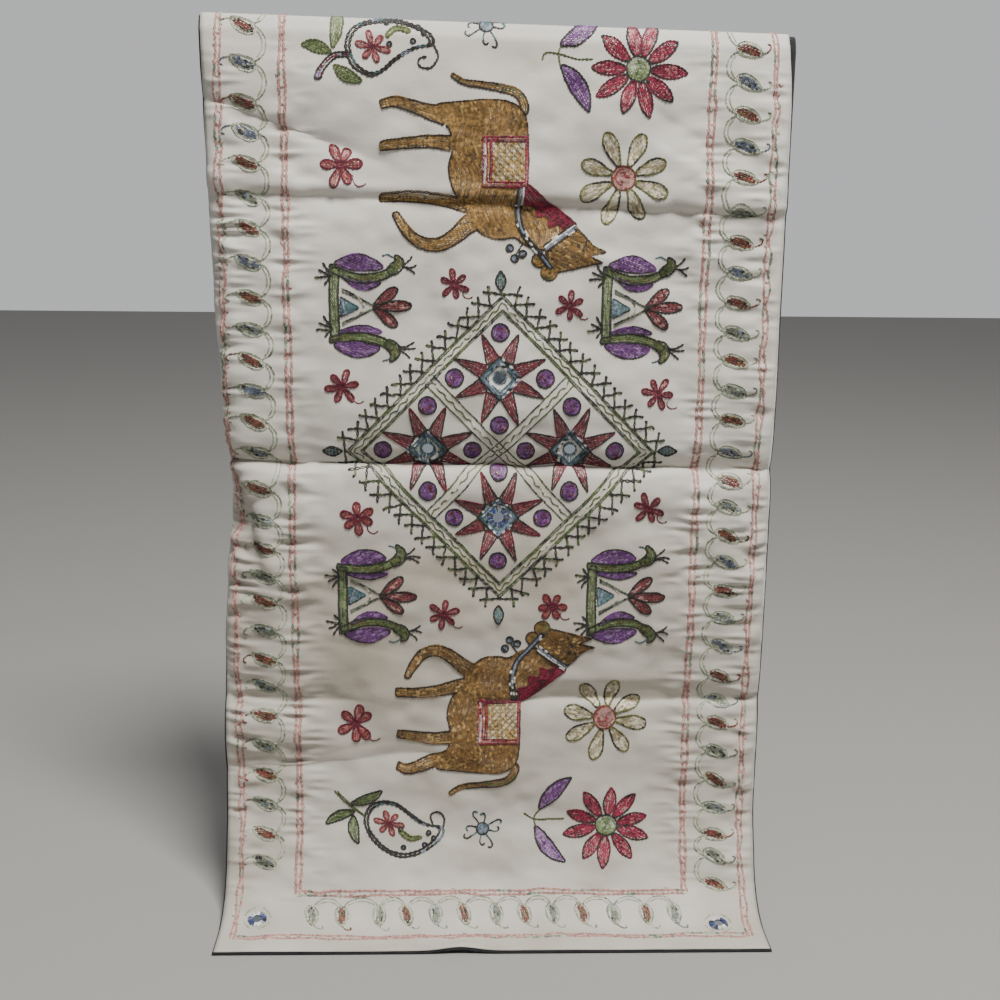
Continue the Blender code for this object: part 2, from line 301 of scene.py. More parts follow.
# Pressed creases over the main folds, as straight lines on the flat cloth
# Columns: u and v of both ends, width of the upper or left flank, of the other flank, height
FINE_CREASES = (
    (-0.20, -0.0080, 0.20, -0.0035, 0.0160, 0.0090, 0.0018),
    (-0.20, 0.0075, 0.20, 0.0120, 0.0120, 0.0028, -0.0042),
    (-0.20, 0.0150, 0.20, 0.0190, 0.0050, 0.0110, 0.0013),
    (-0.20, -0.1835, 0.20, -0.1705, 0.0040, 0.0050, -0.0011),
    (-0.20, -0.1900, 0.20, -0.1775, 0.0060, 0.0030, 0.0009),
    (-0.20, 0.1870, -0.10, 0.1890, 0.0070, 0.0035, -0.0018),
    (0.03, 0.1690, 0.20, 0.1720, 0.0160, 0.0090, 0.0022),
    (0.03, 0.1860, 0.20, 0.1890, 0.0130, 0.0030, -0.0042),
    (-0.1870, 0.0130, -0.1660, 0.0950, 0.0020, 0.0100, -0.0040),
    (-0.1800, 0.0130, -0.1600, 0.0950, 0.0080, 0.0040, 0.0012),
    (-0.1500, -0.0040, -0.0900, 0.0080, 0.0030, 0.0040, 0.0012),
    (-0.1500, 0.0020, -0.1000, 0.0160, 0.0030, 0.0030, 0.0014),
    (-0.1480, -0.0160, -0.1120, -0.0090, 0.0030, 0.0040, -0.0010),
    (0.1100, 0.0200, 0.1500, 0.0120, 0.0030, 0.0040, 0.0012),
    (0.06, 0.1940, 0.20, 0.1965, 0.0040, 0.0100, 0.0009),
    (0.090, -0.2500, 0.158, -0.2070, 0.0040, 0.0060, -0.0012),
    (0.095, -0.2240, 0.155, -0.1880, 0.0040, 0.0060, 0.0011),
    (0.100, -0.1950, 0.155, -0.1520, 0.0040, 0.0060, -0.0012),
    (-0.155, 0.1150, -0.115, 0.1230, 0.0040, 0.0040, -0.0009),
    (-0.150, 0.0270, -0.110, 0.0350, 0.0040, 0.0060, -0.0011),
    (0.110, 0.0950, 0.155, 0.0850, 0.0040, 0.0050, -0.0010),
    (-0.20, 0.2450, -0.07, 0.2180, 0.0060, 0.0045, -0.0012),
    (-0.20, -0.2440, -0.10, -0.1750, 0.0070, 0.0060, -0.0012),
    (-0.16, 0.0900, -0.11, 0.1050, 0.0050, 0.0050, -0.0010),
    (-0.20, 0.0520, -0.13, 0.0620, 0.0050, 0.0040, -0.0013),
    (0.12, 0.0560, 0.20, 0.0480, 0.0050, 0.0050, -0.0010),
    (0.13, -0.1050, 0.20, -0.0980, 0.0050, 0.0050, -0.0009),
    (-0.20, -0.1020, -0.12, -0.1120, 0.0050, 0.0050, -0.0010),
    (0.02, -0.1500, 0.12, -0.1300, 0.0060, 0.0060, 0.0008),
    (-0.09, -0.1650, -0.03, -0.2300, 0.0070, 0.0070, 0.0009),
    (-0.06, 0.2250, 0.05, 0.2450, 0.0070, 0.0070, 0.0008),
    (0.04, 0.1400, 0.13, 0.1650, 0.0070, 0.0070, -0.0008),
    (-0.14, 0.1350, -0.05, 0.1560, 0.0060, 0.0060, -0.0008),
)


def fine_crease_heights(u, v):
    """Height of the pressed creases."""
    height = np.zeros(np.shape(u))
    for u_a, v_a, u_b, v_b, near, far, top in FINE_CREASES:
        length = math.hypot(u_b - u_a, v_b - v_a)
        du, dv = (u_b - u_a) / length, (v_b - v_a) / length
        along = (u - u_a) * du + (v - v_a) * dv
        across = (v - v_a) * du - (u - u_a) * dv
        across = across + CREASE_WAVER * lattice_noise(along * 40, along * 0 + u_a * 50, 61)
        soft = np.sqrt(across**2 + CREASE_SOFTNESS**2) - CREASE_SOFTNESS
        fade = smooth_step(along, -0.012, 0.018) * (1 - smooth_step(along, length - 0.018, length + 0.012))
        height += top * np.exp(-soft / np.where(across < 0, near, far)) * fade
    return height


# Unevenness of the cloth. Columns: height, then for each of two ways the cells a metre along u and
# along v and where they start, and the seed
RUMPLES = (
    (0.0019, (30.0, 14.0, 5.1), (-9.0, 40.0, 0.0), 11),
    (0.00075, (85.0, 30.0, 0.0), (-25.0, 100.0, 2.7), 12),
    (0.0020, (9.0, 0.0, 1.7), (0.0, 13.0, 0.4), 13),
)
CREASED_HEIGHT = 0.0011
CREASED_CELLS = ((24.0, 17.0, 3.0), (-12.0, 27.0, 0.0), 14)


def slanted_noise(u, v, first, second, seed):
    """Noise in cells that lie at a slant. Each way holds its share of u, its share of v and a start."""
    ways = [u * along_u + v * along_v + start for along_u, along_v, start in (first, second)]
    return lattice_noise(*ways, seed)


def wrinkle_heights(u, v):
    """Height of the small wrinkles over the cloth's folds."""
    height = fine_crease_heights(u, v)
    for top, first, second, seed in RUMPLES:
        height += top * slanted_noise(u, v, first, second, seed)
    height -= CREASED_HEIGHT * np.abs(slanted_noise(u, v, *CREASED_CELLS))
    strength = pucker_strength(v)
    for number, (line, left, right, top) in enumerate(PUCKER_LINES):
        across = u - line
        reach = np.where(across < 0, left, right)
        envelope = np.exp(-((across / reach) ** 2))
        narrow = lattice_noise(u * 40.0 + number, v * 170.0 + 0.8 * number, 21 + number)
        ridges = 1.0 - 2.4 * np.abs(narrow)
        ridges += 0.7 * lattice_noise(u * 22.0, v * 120.0 + 1.9 * number + u * 30, 31 + number)
        height += top * strength * envelope * ridges
    height += PROUD
    height *= smooth_step(np.minimum(HALF_WIDTH - np.abs(u), HALF_LENGTH - np.abs(v)), *EDGE_CALM)
    calm = 1 - np.exp(-(((v - stretch_middle("ridge")) / RIDGE_CALM) ** 2))
    calm *= 1 - 0.75 * smooth_step(v, *FOOT_CALM)
    for u_mid, v_mid in MIRROR_PLACES:
        calm *= 1 - 0.92 * np.exp(-((u - u_mid) ** 2 + (v - v_mid) ** 2) / MIRROR_CALM**2)
    return height * calm


# Places of the mirrors on the flat cloth: four stars, two front corners, two rear corners
MIRROR_PLACES = (
    (0.0025, -0.0555),
    (0.0025, 0.0465),
    (-0.0485, -0.0045),
    (0.0535, -0.0045),
    (-0.1740, 0.3620),
    (0.1680, 0.3690),
    (-0.1720, -0.3660),
    (0.1710, -0.3640),
)

# Cloth grids and sheets

FACE_COLUMNS = 130
FACE_ROWS = 600
LINING_COLUMNS = 56
LINING_ROWS = 170
FACE_TOP = PLY_GAP / 2 + FACE_THICKNESS
# How far the face's turned edge reaches down, and the share of the lining's thickness that is built
TURNED_EDGE = 0.0009
LINING_SHARE = 0.9


def unit(vectors):
    return vectors / np.maximum(np.linalg.norm(vectors, axis=-1, keepdims=True), 1e-12)


def grid_normals(points):
    """Normals of a grid of points, out of the embroidered side."""
    along = np.gradient(points, axis=0)
    across = np.gradient(points, axis=1)
    return unit(np.cross(along, across))


grid_u = np.linspace(-HALF_WIDTH, HALF_WIDTH, FACE_COLUMNS + 1)
grid_v = np.linspace(-HALF_LENGTH, HALF_LENGTH, FACE_ROWS + 1)
face_u, face_v = np.meshgrid(grid_u, grid_v)
drawn = DRAW_WIDTH * np.exp(-(((face_v - DRAW_V) / DRAW_REACH) ** 2))
drawn *= smooth_step(face_u, HALF_WIDTH - 0.030, HALF_WIDTH)
coarse = cloth_middle(face_u - drawn, face_v)
coarse_normal = cloth_normal(face_u - drawn, face_v)
wrinkles = wrinkle_heights(face_u, face_v)
face_rise = FACE_TOP + np.maximum(wrinkles, LOWEST_TROUGH)
face_points = coarse + coarse_normal * face_rise[..., None]
face_normals = grid_normals(face_points)


def new_mesh(name, points, faces, uv=None):
    """A mesh object from arrays of points and of faces with equal corner counts."""
    faces = np.asarray(faces, np.int32)
    corners = faces.shape[1]
    mesh = bpy.data.meshes.new(name)
    mesh.vertices.add(len(points))
    mesh.vertices.foreach_set("co", np.asarray(points, np.float32).ravel())
    mesh.loops.add(faces.size)
    mesh.loops.foreach_set("vertex_index", faces.ravel())
    mesh.polygons.add(len(faces))
    mesh.polygons.foreach_set("loop_start", np.arange(0, faces.size, corners, dtype=np.int32))
    if uv is not None:
        layer = mesh.uv_layers.new(name="flat")
        layer.data.foreach_set("uv", np.asarray(uv, np.float32)[faces.ravel()].ravel())
    mesh.update(calc_edges=True)
    mesh.validate()
    mesh.shade_smooth()
    obj = bpy.data.objects.new(name, mesh)
    bpy.context.scene.collection.objects.link(obj)
    return obj


def grid_faces(rows, columns, start=0, flip=False):
    """Quads of a grid of rows by columns of points."""
    i, j = np.meshgrid(np.arange(rows - 1), np.arange(columns - 1), indexing="ij")
    a = start + (i * columns + j).ravel()
    quads = np.stack((a, a + columns, a + columns + 1, a + 1), -1)
    return quads[:, ::-1] if flip else quads


def rim_of(rows, columns):
    """Indices of a grid's border, in order round it."""
    top = np.arange(columns)
    right = np.arange(1, rows) * columns + columns - 1
    bottom = np.arange(columns - 2, -1, -1) + (rows - 1) * columns
    left = np.arange(rows - 2, 0, -1) * columns
    return np.concatenate((top, right, bottom, left))


# Broad stains and lighter patches of the face, with painted shade on the left margin where it turns back;
# lighter over 0 and darker under it
# Columns: u, v, reach across, reach along, strength
STAINS_AND_SHADE = (
    (0.000, 0.085, 0.080, 0.050, -0.22),
    (-0.060, -0.075, 0.060, 0.045, -0.10),
    (0.080, -0.110, 0.070, 0.050, -0.13),
    (-0.100, 0.110, 0.050, 0.050, -0.14),
    (-0.090, 0.170, 0.040, 0.035, -0.16),
    (0.110, 0.080, 0.050, 0.040, -0.08),
    (0.030, -0.275, 0.080, 0.030, -0.14),
    (-0.100, -0.265, 0.040, 0.025, -0.10),
    # Painted shade on the left margin where it turns back
    (-0.185, 0.060, 0.030, 0.120, -0.10),
    (-0.090, -0.225, 0.040, 0.022, 0.12),
    (-0.060, -0.195, 0.030, 0.015, 0.12),
    (0.060, -0.160, 0.040, 0.030, 0.07),
    (0.000, 0.360, 0.160, 0.030, 0.08),
)


# Painted light on the top and painted shade at the foot: how much lighter the top is and darker the foot,
# and where along the cloth that changes
TOP_LIGHT_FOOT_SHADE = 0.12
TOP_LIGHT_FOOT_SHADE_FADE = (-0.25, 0.22)


def stain_and_shade_tone(u, v):
    """Tone of the stains, patches and painted light and shade, from 0 dark to 1 light."""
    tone = 0.06 * lattice_noise(u * 22.0, v * 22.0, 71) + 0.05 * lattice_noise(u * 60.0, v * 60.0, 72)
    # Painted light towards the top and painted shade towards the foot
    tone += TOP_LIGHT_FOOT_SHADE - 2 * TOP_LIGHT_FOOT_SHADE * smooth_step(v, *TOP_LIGHT_FOOT_SHADE_FADE)
    for u_mid, v_mid, reach_u, reach_v, strength in STAINS_AND_SHADE:
        wide = ((u - u_mid) / reach_u) ** 2 + ((v - v_mid) / reach_v) ** 2
        tone += strength * np.exp(-wide)
    return np.clip(0.5 + tone, 0.0, 1.0)


def face_sheet():
    """The face panel: a fine sheet with its turned edge folded down to the lining."""
    rows, columns = face_points.shape[:2]
    points = face_points.reshape(-1, 3)
    normals = face_normals.reshape(-1, 3)
    flat = np.stack((face_u.ravel(), face_v.ravel()), -1)
    rim = rim_of(rows, columns)
    lower = points[rim] - normals[rim] * TURNED_EDGE
    quads = grid_faces(rows, columns)
    a, b = np.arange(len(rim)), (np.arange(len(rim)) + 1) % len(rim)
    base = len(points)
    skirt = np.stack((rim[a], rim[b], base + b, base + a), -1)
    uv = np.concatenate((flat, flat[rim]))
    sheet = new_mesh("face_cloth", np.concatenate((points, lower)), np.concatenate((quads, skirt)), uv)
    # A colour attribute of stains with painted light and shade, which the cotton's colour reads
    tone = stain_and_shade_tone(uv[:, 0], uv[:, 1])
    paint = sheet.data.color_attributes.new("stain", "FLOAT_COLOR", "POINT")
    paint.data.foreach_set("color", np.repeat(tone, 4).astype(np.float32))
    return sheet


def lining_sheet():
    """The lining: a closed sheet of black cotton that shows past every edge of the face."""
    u = np.linspace(-HALF_WIDTH - LINING_MARGIN, HALF_WIDTH + LINING_MARGIN, LINING_COLUMNS + 1)
    v = np.linspace(-HALF_LENGTH - LINING_MARGIN, HALF_LENGTH + LINING_MARGIN, LINING_ROWS + 1)
    u, v = np.meshgrid(u, v)
    middle = cloth_middle(u, v)
    normal = cloth_normal(u, v)
    rows, columns = u.shape
    top = (middle - normal * PLY_GAP / 2).reshape(-1, 3)
    under = (middle - normal * (PLY_GAP / 2 + LINING_THICKNESS * LINING_SHARE)).reshape(-1, 3)
    rim = rim_of(rows, columns)
    a, b = np.arange(len(rim)), (np.arange(len(rim)) + 1) % len(rim)
    base = len(top)
    edge = np.stack((rim[a], rim[b], base + rim[b], base + rim[a]), -1)
    quads = np.concatenate((grid_faces(rows, columns), grid_faces(rows, columns, base, True), edge))
    flat = np.stack((u.ravel(), v.ravel()), -1)
    return new_mesh("lining_cloth", np.concatenate((top, under)), quads, np.concatenate((flat, flat)))


# Materials


def material(name, color, roughness, metallic=0.0, sheen=0.0, specular=0.5):
    """A new material with its node tree and main shader."""
    made = bpy.data.materials.new(name)
    made.use_nodes = True
    made.diffuse_color = (*color, 1.0)
    shader = made.node_tree.nodes["Principled BSDF"]
    values = {
        "Base Color": (*color, 1.0),
        "Roughness": roughness,
        "Metallic": metallic,
        "Sheen Weight": sheen,
        "Specular IOR Level": specular,
    }
    for key, value in values.items():
        shader.inputs[key].default_value = value
    return made, made.node_tree, shader


def add_node(tree, kind, inputs=None, **settings):
    """A node with its settings. Each input takes a value or a link from another node's output."""
    node = tree.nodes.new(kind)
    for key, value in settings.items():
        setattr(node, key, value)
    for key, value in (inputs or {}).items():
        if isinstance(value, bpy.types.NodeSocket):
            tree.links.new(value, node.inputs[key])
        else:
            node.inputs[key].default_value = value
    return node


def noise(tree, scale, detail, roughness=0.5, coordinate="UV"):
    """The value of a noise texture with its own scale along each axis."""
    place = add_node(tree, "ShaderNodeTexCoord").outputs[coordinate]
    scaled = add_node(tree, "ShaderNodeMapping", {"Vector": place, "Scale": scale}).outputs["Vector"]
    inputs = {"Vector": scaled, "Scale": 1.0, "Detail": detail, "Roughness": roughness}
    return add_node(tree, "ShaderNodeTexNoise", inputs).outputs["Fac"]


def ramp(tree, value, *stops):
    """A colour that a value picks between stops, each a place from 0 to 1 and its colour."""
    node = add_node(tree, "ShaderNodeValToRGB", {"Fac": value})
    elements = node.color_ramp.elements
    elements[0].position, elements[1].position = stops[0][0], stops[-1][0]
    for place, _ in stops[1:-1]:
        elements.new(place)
    for element, (_, color) in zip(elements, stops):
        element.color = (*color, 1.0)
    return node.outputs["Color"]


def multiplied(tree, first, second, share):
    """The first colour times a share of the second."""
    inputs = {"Factor": share, "A": first, "B": second}
    node = add_node(tree, "ShaderNodeMix", inputs, data_type="RGBA", blend_type="MULTIPLY")
    return node.outputs["Result"]


def bump(tree, height, strength, distance, over=None):
    """Normals of a fine relief, over another relief if one is given."""
    inputs = {"Height": height, "Strength": strength, "Distance": distance}
    if over is not None:
        inputs["Normal"] = over
    return add_node(tree, "ShaderNodeBump", inputs).outputs["Normal"]


def ivory_cotton():
    """Washed ivory cotton with a satin sheen, a fine weave, soft stains and painted light and shade."""
    made, tree, shader = material("ivory cotton", (0.66, 0.63, 0.575), 0.62, sheen=0.25, specular=0.35)
    shader.inputs["Sheen Roughness"].default_value = 0.4
    cloud = noise(tree, (11.0, 9.0, 1.0), 5.0, 0.6)
    tone = ramp(tree, cloud, (0.30, (0.60, 0.565, 0.50)), (0.68, (0.70, 0.675, 0.625)))
    yarns = [noise(tree, scale, 2.0) for scale in ((2300.0, 500.0, 1.0), (500.0, 2300.0, 1.0))]
    weave = add_node(tree, "ShaderNodeMath", dict(enumerate(yarns)), operation="ADD").outputs["Value"]
    # The stain colour also holds painted shade on the foot and the left margin, and painted light on the
    # top
    stain = add_node(tree, "ShaderNodeVertexColor", layer_name="stain").outputs["Color"]
    stain_and_shade_colour = ramp(tree, stain, (0.0, (0.42, 0.36, 0.27)), (0.5, (0.93, 0.925, 0.915)), (1.0, (1.0, 1.0, 1.0)))
    stained_and_shaded = multiplied(tree, multiplied(tree, tone, weave, 0.10), stain_and_shade_colour, 1.0)
    tree.links.new(stained_and_shaded, shader.inputs["Base Color"])
    soft = bump(tree, noise(tree, (60.0, 75.0, 1.0), 4.0, 0.55), 0.35, 0.0012)
    tree.links.new(bump(tree, weave, 0.30, 0.0002, soft), shader.inputs["Normal"])
    return made


def black_cotton():
    """Dense black cotton with a little lint."""
    made, tree, shader = material("black cotton", (0.012, 0.012, 0.014), 0.85, sheen=0.15, specular=0.25)
    lint = noise(tree, (90.0, 90.0, 1.0), 6.0, 0.7)
    tone = ramp(tree, lint, (0.35, (0.009, 0.009, 0.011)), (0.85, (0.030, 0.030, 0.033)))
    tree.links.new(tone, shader.inputs["Base Color"])
    yarn = noise(tree, (1500.0, 1500.0, 1.0), 2.0)
    tree.links.new(bump(tree, yarn, 0.4, 0.0003), shader.inputs["Normal"])
    return made


def mirror_glass():
    """Small hand-cut mirror glass with a little wear."""
    made, tree, shader = material("mirror glass", (0.42, 0.49, 0.58), 0.08, metallic=1.0)
    wear = noise(tree, (300.0, 300.0, 300.0), 4.0, coordinate="Object")
    rough = add_node(tree, "ShaderNodeMapRange", {"Value": wear, "To Min": 0.12, "To Max": 0.36})
    tree.links.new(rough.outputs["Result"], shader.inputs["Roughness"])
    return made


def thread(name, color):
    """Cotton embroidery thread, a little uneven in colour from stitch to stitch."""
    made, tree, shader = material(name, color, 0.62, sheen=0.3, specular=0.3)
    dark = [part * 0.50 for part in color]
    light = [min(1.0, part * 1.55 + 0.010) for part in color]
    uneven = noise(tree, (420.0, 420.0, 420.0), 3.0, coordinate="Object")
    tree.links.new(ramp(tree, uneven, (0.30, dark), (0.70, light)), shader.inputs["Base Color"])
    return made


# Chain stitches

MM = 0.001
STITCH_LENGTH = 2.5
STRAND_SPREAD = 0.48
STRAND_RADIUS = 0.38
STITCH_CREST = 0.80
ROW_STEP = 1.42
ROW_INSET = 0.3
SHORTEST_ROW = 1.2
FILL_SWAY_LENGTH = 6.5
STITCH_SINK = 0.06
EDGE_OPTIONS = {"size": 1.05, "lift": 0.2}
# Stations of one strand of a chain loop: share along the stitch, spread, height
LOOP_STATIONS = ((-0.05, 0.10, 0.60), (0.42, 1.0, 1.0), (1.05, 0.20, 0.70))

# Thread colours, linear
THREADS = {
    "gold": (0.285, 0.160, 0.040),
    "dark gold": (0.22, 0.118, 0.032),
    "straw": (0.44, 0.285, 0.10),
    "bronze": (0.165, 0.096, 0.032),
    "brown": (0.040, 0.025, 0.014),
    "maroon": (0.130, 0.012, 0.028),
    "crimson": (0.27, 0.010, 0.045),
    "dusty red": (0.19, 0.036, 0.040),
    "coral": (0.27, 0.050, 0.045),
    "salmon": (0.43, 0.235, 0.205),
    "pink": (0.40, 0.14, 0.14),
    "brick": (0.165, 0.034, 0.023),
    "rust": (0.155, 0.042, 0.021),
    "purple": (0.145, 0.040, 0.185),
    "lilac": (0.26, 0.14, 0.31),
    "olive": (0.115, 0.125, 0.035),
    "green": (0.085, 0.115, 0.040),
    "leaf green": (0.15, 0.21, 0.075),
    "pale green": (0.33, 0.36, 0.26),
    "grey green": (0.16, 0.18, 0.13),
    "grey blue": (0.18, 0.22, 0.29),
    "slate": (0.105, 0.125, 0.175),
    "teal": (0.060, 0.125, 0.135),
    "blue": (0.028, 0.050, 0.20),
    "cream": (0.62, 0.56, 0.42),
    "sand": (0.36, 0.30, 0.17),
    "white": (0.75, 0.74, 0.70),
    "charcoal": (0.026, 0.025, 0.022),
}
THREAD_NAMES = list(THREADS)


def on_cloth(flat, lift):
    """Points at a height over the face sheet and the normals there, for flat places in metres."""
    row = np.clip((flat[..., 1] + HALF_LENGTH) / RUNNER_LENGTH * FACE_ROWS, 0, FACE_ROWS - 1e-6)
    column = np.clip((flat[..., 0] + HALF_WIDTH) / RUNNER_WIDTH * FACE_COLUMNS, 0, FACE_COLUMNS - 1e-6)
    i, j = row.astype(int), column.astype(int)
    s, t = (row - i)[..., None], (column - j)[..., None]
    found = []
    for grid in (face_points, face_normals):
        upper = grid[i, j] * (1 - t) + grid[i, j + 1] * t
        lower = grid[i + 1, j] * (1 - t) + grid[i + 1, j + 1] * t
        found.append(upper * (1 - s) + lower * s)
    points, normals = found[0], unit(found[1])
    return points + normals * np.asarray(lift)[..., None], normals


def strand_mesh_arrays(points, normals, radius, crest):
    """Points and quads of strands with a roof-shaped section, from their stations."""
    count, stations = points.shape[:2]
    ahead = unit(np.gradient(points, axis=1))
    side = unit(np.cross(ahead, normals)) * radius[:, None, None]
    top = normals * crest[..., None]
    verts = np.stack((points - side, points + top, points + side), 2).reshape(-1, 3)
    quads = []
    for station in range(stations - 1):
        for edge in range(2):
            a = station * 3 + edge
            quads.append((a, a + 1, a + 4, a + 3))
    quads = np.array(quads)[None] + (np.arange(count) * stations * 3)[:, None, None]
    return verts, quads.reshape(-1, 4)


def resample(path, step):
    """The path with points at an even spacing near the step."""
    run = np.concatenate(([0.0], np.cumsum(np.linalg.norm(np.diff(path, axis=0), axis=1))))
    places = np.linspace(0.0, run[-1], max(1, int(round(run[-1] / step))) + 1)
    return np.stack([np.interp(places, run, path[:, axis]) for axis in (0, 1)], -1)


def smooth(points, closed=False, parts=8):
    """A rounded curve through given points."""
    points = np.asarray(points, float)
    if closed:
        points = np.concatenate((points[-1:], points, points[:2]))
    else:
        points = np.concatenate((2 * points[:1] - points[1:2], points, 2 * points[-1:] - points[-2:-1]))
    share = np.linspace(0, 1, parts, endpoint=False)[None, :, None]
    a, b, c, d = (points[k:len(points) - 3 + k, None] for k in range(4))
    curve = (2 * b + (c - a) * share + (2 * a - 5 * b + 4 * c - d) * share**2
             + (3 * b - a - 3 * c + d) * share**3) / 2
    return np.concatenate((curve.reshape(-1, 2), points[-2:-1]))


def toward(turn):
    """The way at a turn from +u towards +v, in degrees."""
    return np.array((math.cos(math.radians(turn)), math.sin(math.radians(turn))))


def left_of(ahead):
    """Ways at a right angle to others."""
    return np.stack((-ahead[..., 1], ahead[..., 0]), -1)


def arc(centre, radius, start=0.0, end=360.0, squash=1.0):
    """Points of an arc. Angles run from +u towards +v, in degrees."""
    count = max(5, int(abs(end - start) / 15) + 1)
    turn = np.radians(np.linspace(start, end, count))
    return np.asarray(centre, float) + radius * np.stack((np.cos(turn), np.sin(turn) * squash), -1)


def within(points, outline):
    """Which points lie inside an outline."""
    found = np.zeros(len(points), bool)
    for a, b in zip(outline, np.roll(outline, -1, axis=0)):
        if a[1] != b[1]:
            crossing = (a[1] > points[:, 1]) != (b[1] > points[:, 1])
            edge = a[0] + (b[0] - a[0]) * (points[:, 1] - a[1]) / (b[1] - a[1])
            found ^= crossing & (points[:, 0] < edge)
    return found


class Needlework:
    """Stitches of one group of motifs, gathered in millimetres and joined as one mesh."""

    def __init__(self, name, seed):
        self.name = name
        self.random = np.random.default_rng(seed)
        self.parts = []
        self.place()

    def place(self, du=0.0, dv=0.0, flip_u=1, flip_v=1):
        """Where the motifs that follow go: moved and, if asked, mirrored."""
        self.move = np.array((du, dv))
        self.flip = np.array((flip_u, flip_v), float)

    def chain(self, path, colour, size=1.0, lift=0.0, wander=0.12, second=None, share=0.0, avoid=(),
              run=7):
        """One row of chain stitches. A share of them, in runs, takes a second colour.

        Stitches inside an outline to avoid are left out.
        """
        path = resample(np.asarray(path, float), STITCH_LENGTH * size)
        kept = np.ones(len(path) - 1, bool)
        for outline in avoid:
            kept &= ~within((path[:-1] + path[1:]) / 2, outline)
        path = path + self.random.normal(0, wander, path.shape)
        path = path * self.flip + self.move
        count = len(path) - 1
        colours = np.full(count, THREAD_NAMES.index(colour))
        if second is not None:
            trend = np.convolve(self.random.normal(size=count + run - 1), np.ones(run), "valid")
            taken = trend > np.quantile(trend, 1 - share) if count > 3 else trend > np.inf
            others = [THREAD_NAMES.index(name) for name in np.atleast_1d(second)]
            colours[taken] = self.random.choice(others, int(taken.sum()))
        row = np.zeros((count, 7))
        row[:, 0:2], row[:, 2:4] = path[:-1], path[1:]
        row[:, 4] = size * self.random.uniform(0.88, 1.12, count)
        row[:, 5] = lift + self.random.uniform(-0.04, 0.04, count)
        row[:, 6] = colours
        self.parts.append(row[kept])

    def outline(self, points, colour, closed=True, rounded=True, **options):
        points = np.asarray(points, float)
        if rounded:
            points = smooth(points, closed)
        elif closed:
            points = np.concatenate((points, points[:1]))
        self.chain(points, colour, **options)

    def fill(self, points, colour, angle=0.0, step=ROW_STEP, rounded=True, sway=0.0, streaks=(),
             **options):
        """Rows of chain stitches across an outline, at an angle from the u axis, that may sway.

        Now and then a whole row takes one of the streak colours.
        """
        points = smooth(points, True) if rounded else np.asarray(points, float)
        turn = math.radians(angle)
        spin = np.array(((math.cos(turn), -math.sin(turn)), (math.sin(turn), math.cos(turn))))
        turned = points @ spin
        turned[:, 1] += sway * np.sin(turned[:, 0] / FILL_SWAY_LENGTH)
        following = np.roll(turned, -1, axis=0)
        for level in np.arange(turned[:, 1].min() + step * 0.6, turned[:, 1].max(), step):
            crossing = (turned[:, 1] <= level) != (following[:, 1] <= level)
            a, b = turned[crossing], following[crossing]
            hits = np.sort(a[:, 0] + (b[:, 0] - a[:, 0]) * (level - a[:, 1]) / (b[:, 1] - a[:, 1]))
            for left, right in zip(hits[0::2], hits[1::2]):
                if right - left > SHORTEST_ROW:
                    along = np.linspace(left + ROW_INSET, right - ROW_INSET, int((right - left) / 2) + 2)
                    row = np.stack((along, level - sway * np.sin(along / FILL_SWAY_LENGTH)), -1)
                    shade = self.random.choice((colour, colour, colour, *streaks))
                    self.chain(row @ spin.T, shade, **options)

    def stroke(self, points, widths, colour, edge=None, step=ROW_STEP, edge_options=None, **options):
        """Rows of chain stitches that follow a line, within a width that changes along it."""
        line = smooth(points) if len(points) > 2 else resample(np.asarray(points, float), 1.0)
        line = resample(line, 0.8)
        ahead = unit(np.gradient(line, axis=0))
        side = left_of(ahead)
        along = np.linspace(0, 1, len(line))
        half = np.interp(along, np.linspace(0, 1, len(widths)), widths) / 2
        rows = max(1, int(round(2 * half.max() / step)))
        for offset in (np.arange(rows) - (rows - 1) / 2) * step:
            inside = np.flatnonzero(np.abs(offset) < np.maximum(half - 0.35, 0.05))
            if len(inside) > 2:
                for piece in np.split(inside, np.flatnonzero(np.diff(inside) > 1) + 1):
                    if len(piece) > 2:
                        self.chain(line[piece] + side[piece] * offset, colour, **options)
        if edge:
            rim = np.concatenate((line + side * half[:, None], (line - side * half[:, None])[::-1]))
            rim = np.concatenate((rim, rim[:1]))
            self.chain(rim, edge, **(edge_options or EDGE_OPTIONS))
            return rim
        return None

    def petals(self, centre, angles, start, tips, width, shape, colour, edge, **options):
        """Petals round a centre. The shape is the share of the width along each."""
        centre = np.asarray(centre, float)
        for angle, tip in zip(angles, np.resize(tips, len(angles))):
            line = centre + toward(angle) * np.linspace(start, tip, 5)[:, None]
            self.stroke(line, np.array(shape) * width, colour, edge, **options)

    def disc(self, centre, radius, colour, edge=None, **options):
        """Rings of chain stitches from the middle out, with an edge of its own."""
        for ring in np.arange(0.6, radius - 0.4, ROW_STEP * 0.8):
            self.chain(arc(centre, ring), colour, size=0.9, **options)
        self.chain(arc(centre, radius), edge or colour, size=1.0, lift=0.15)

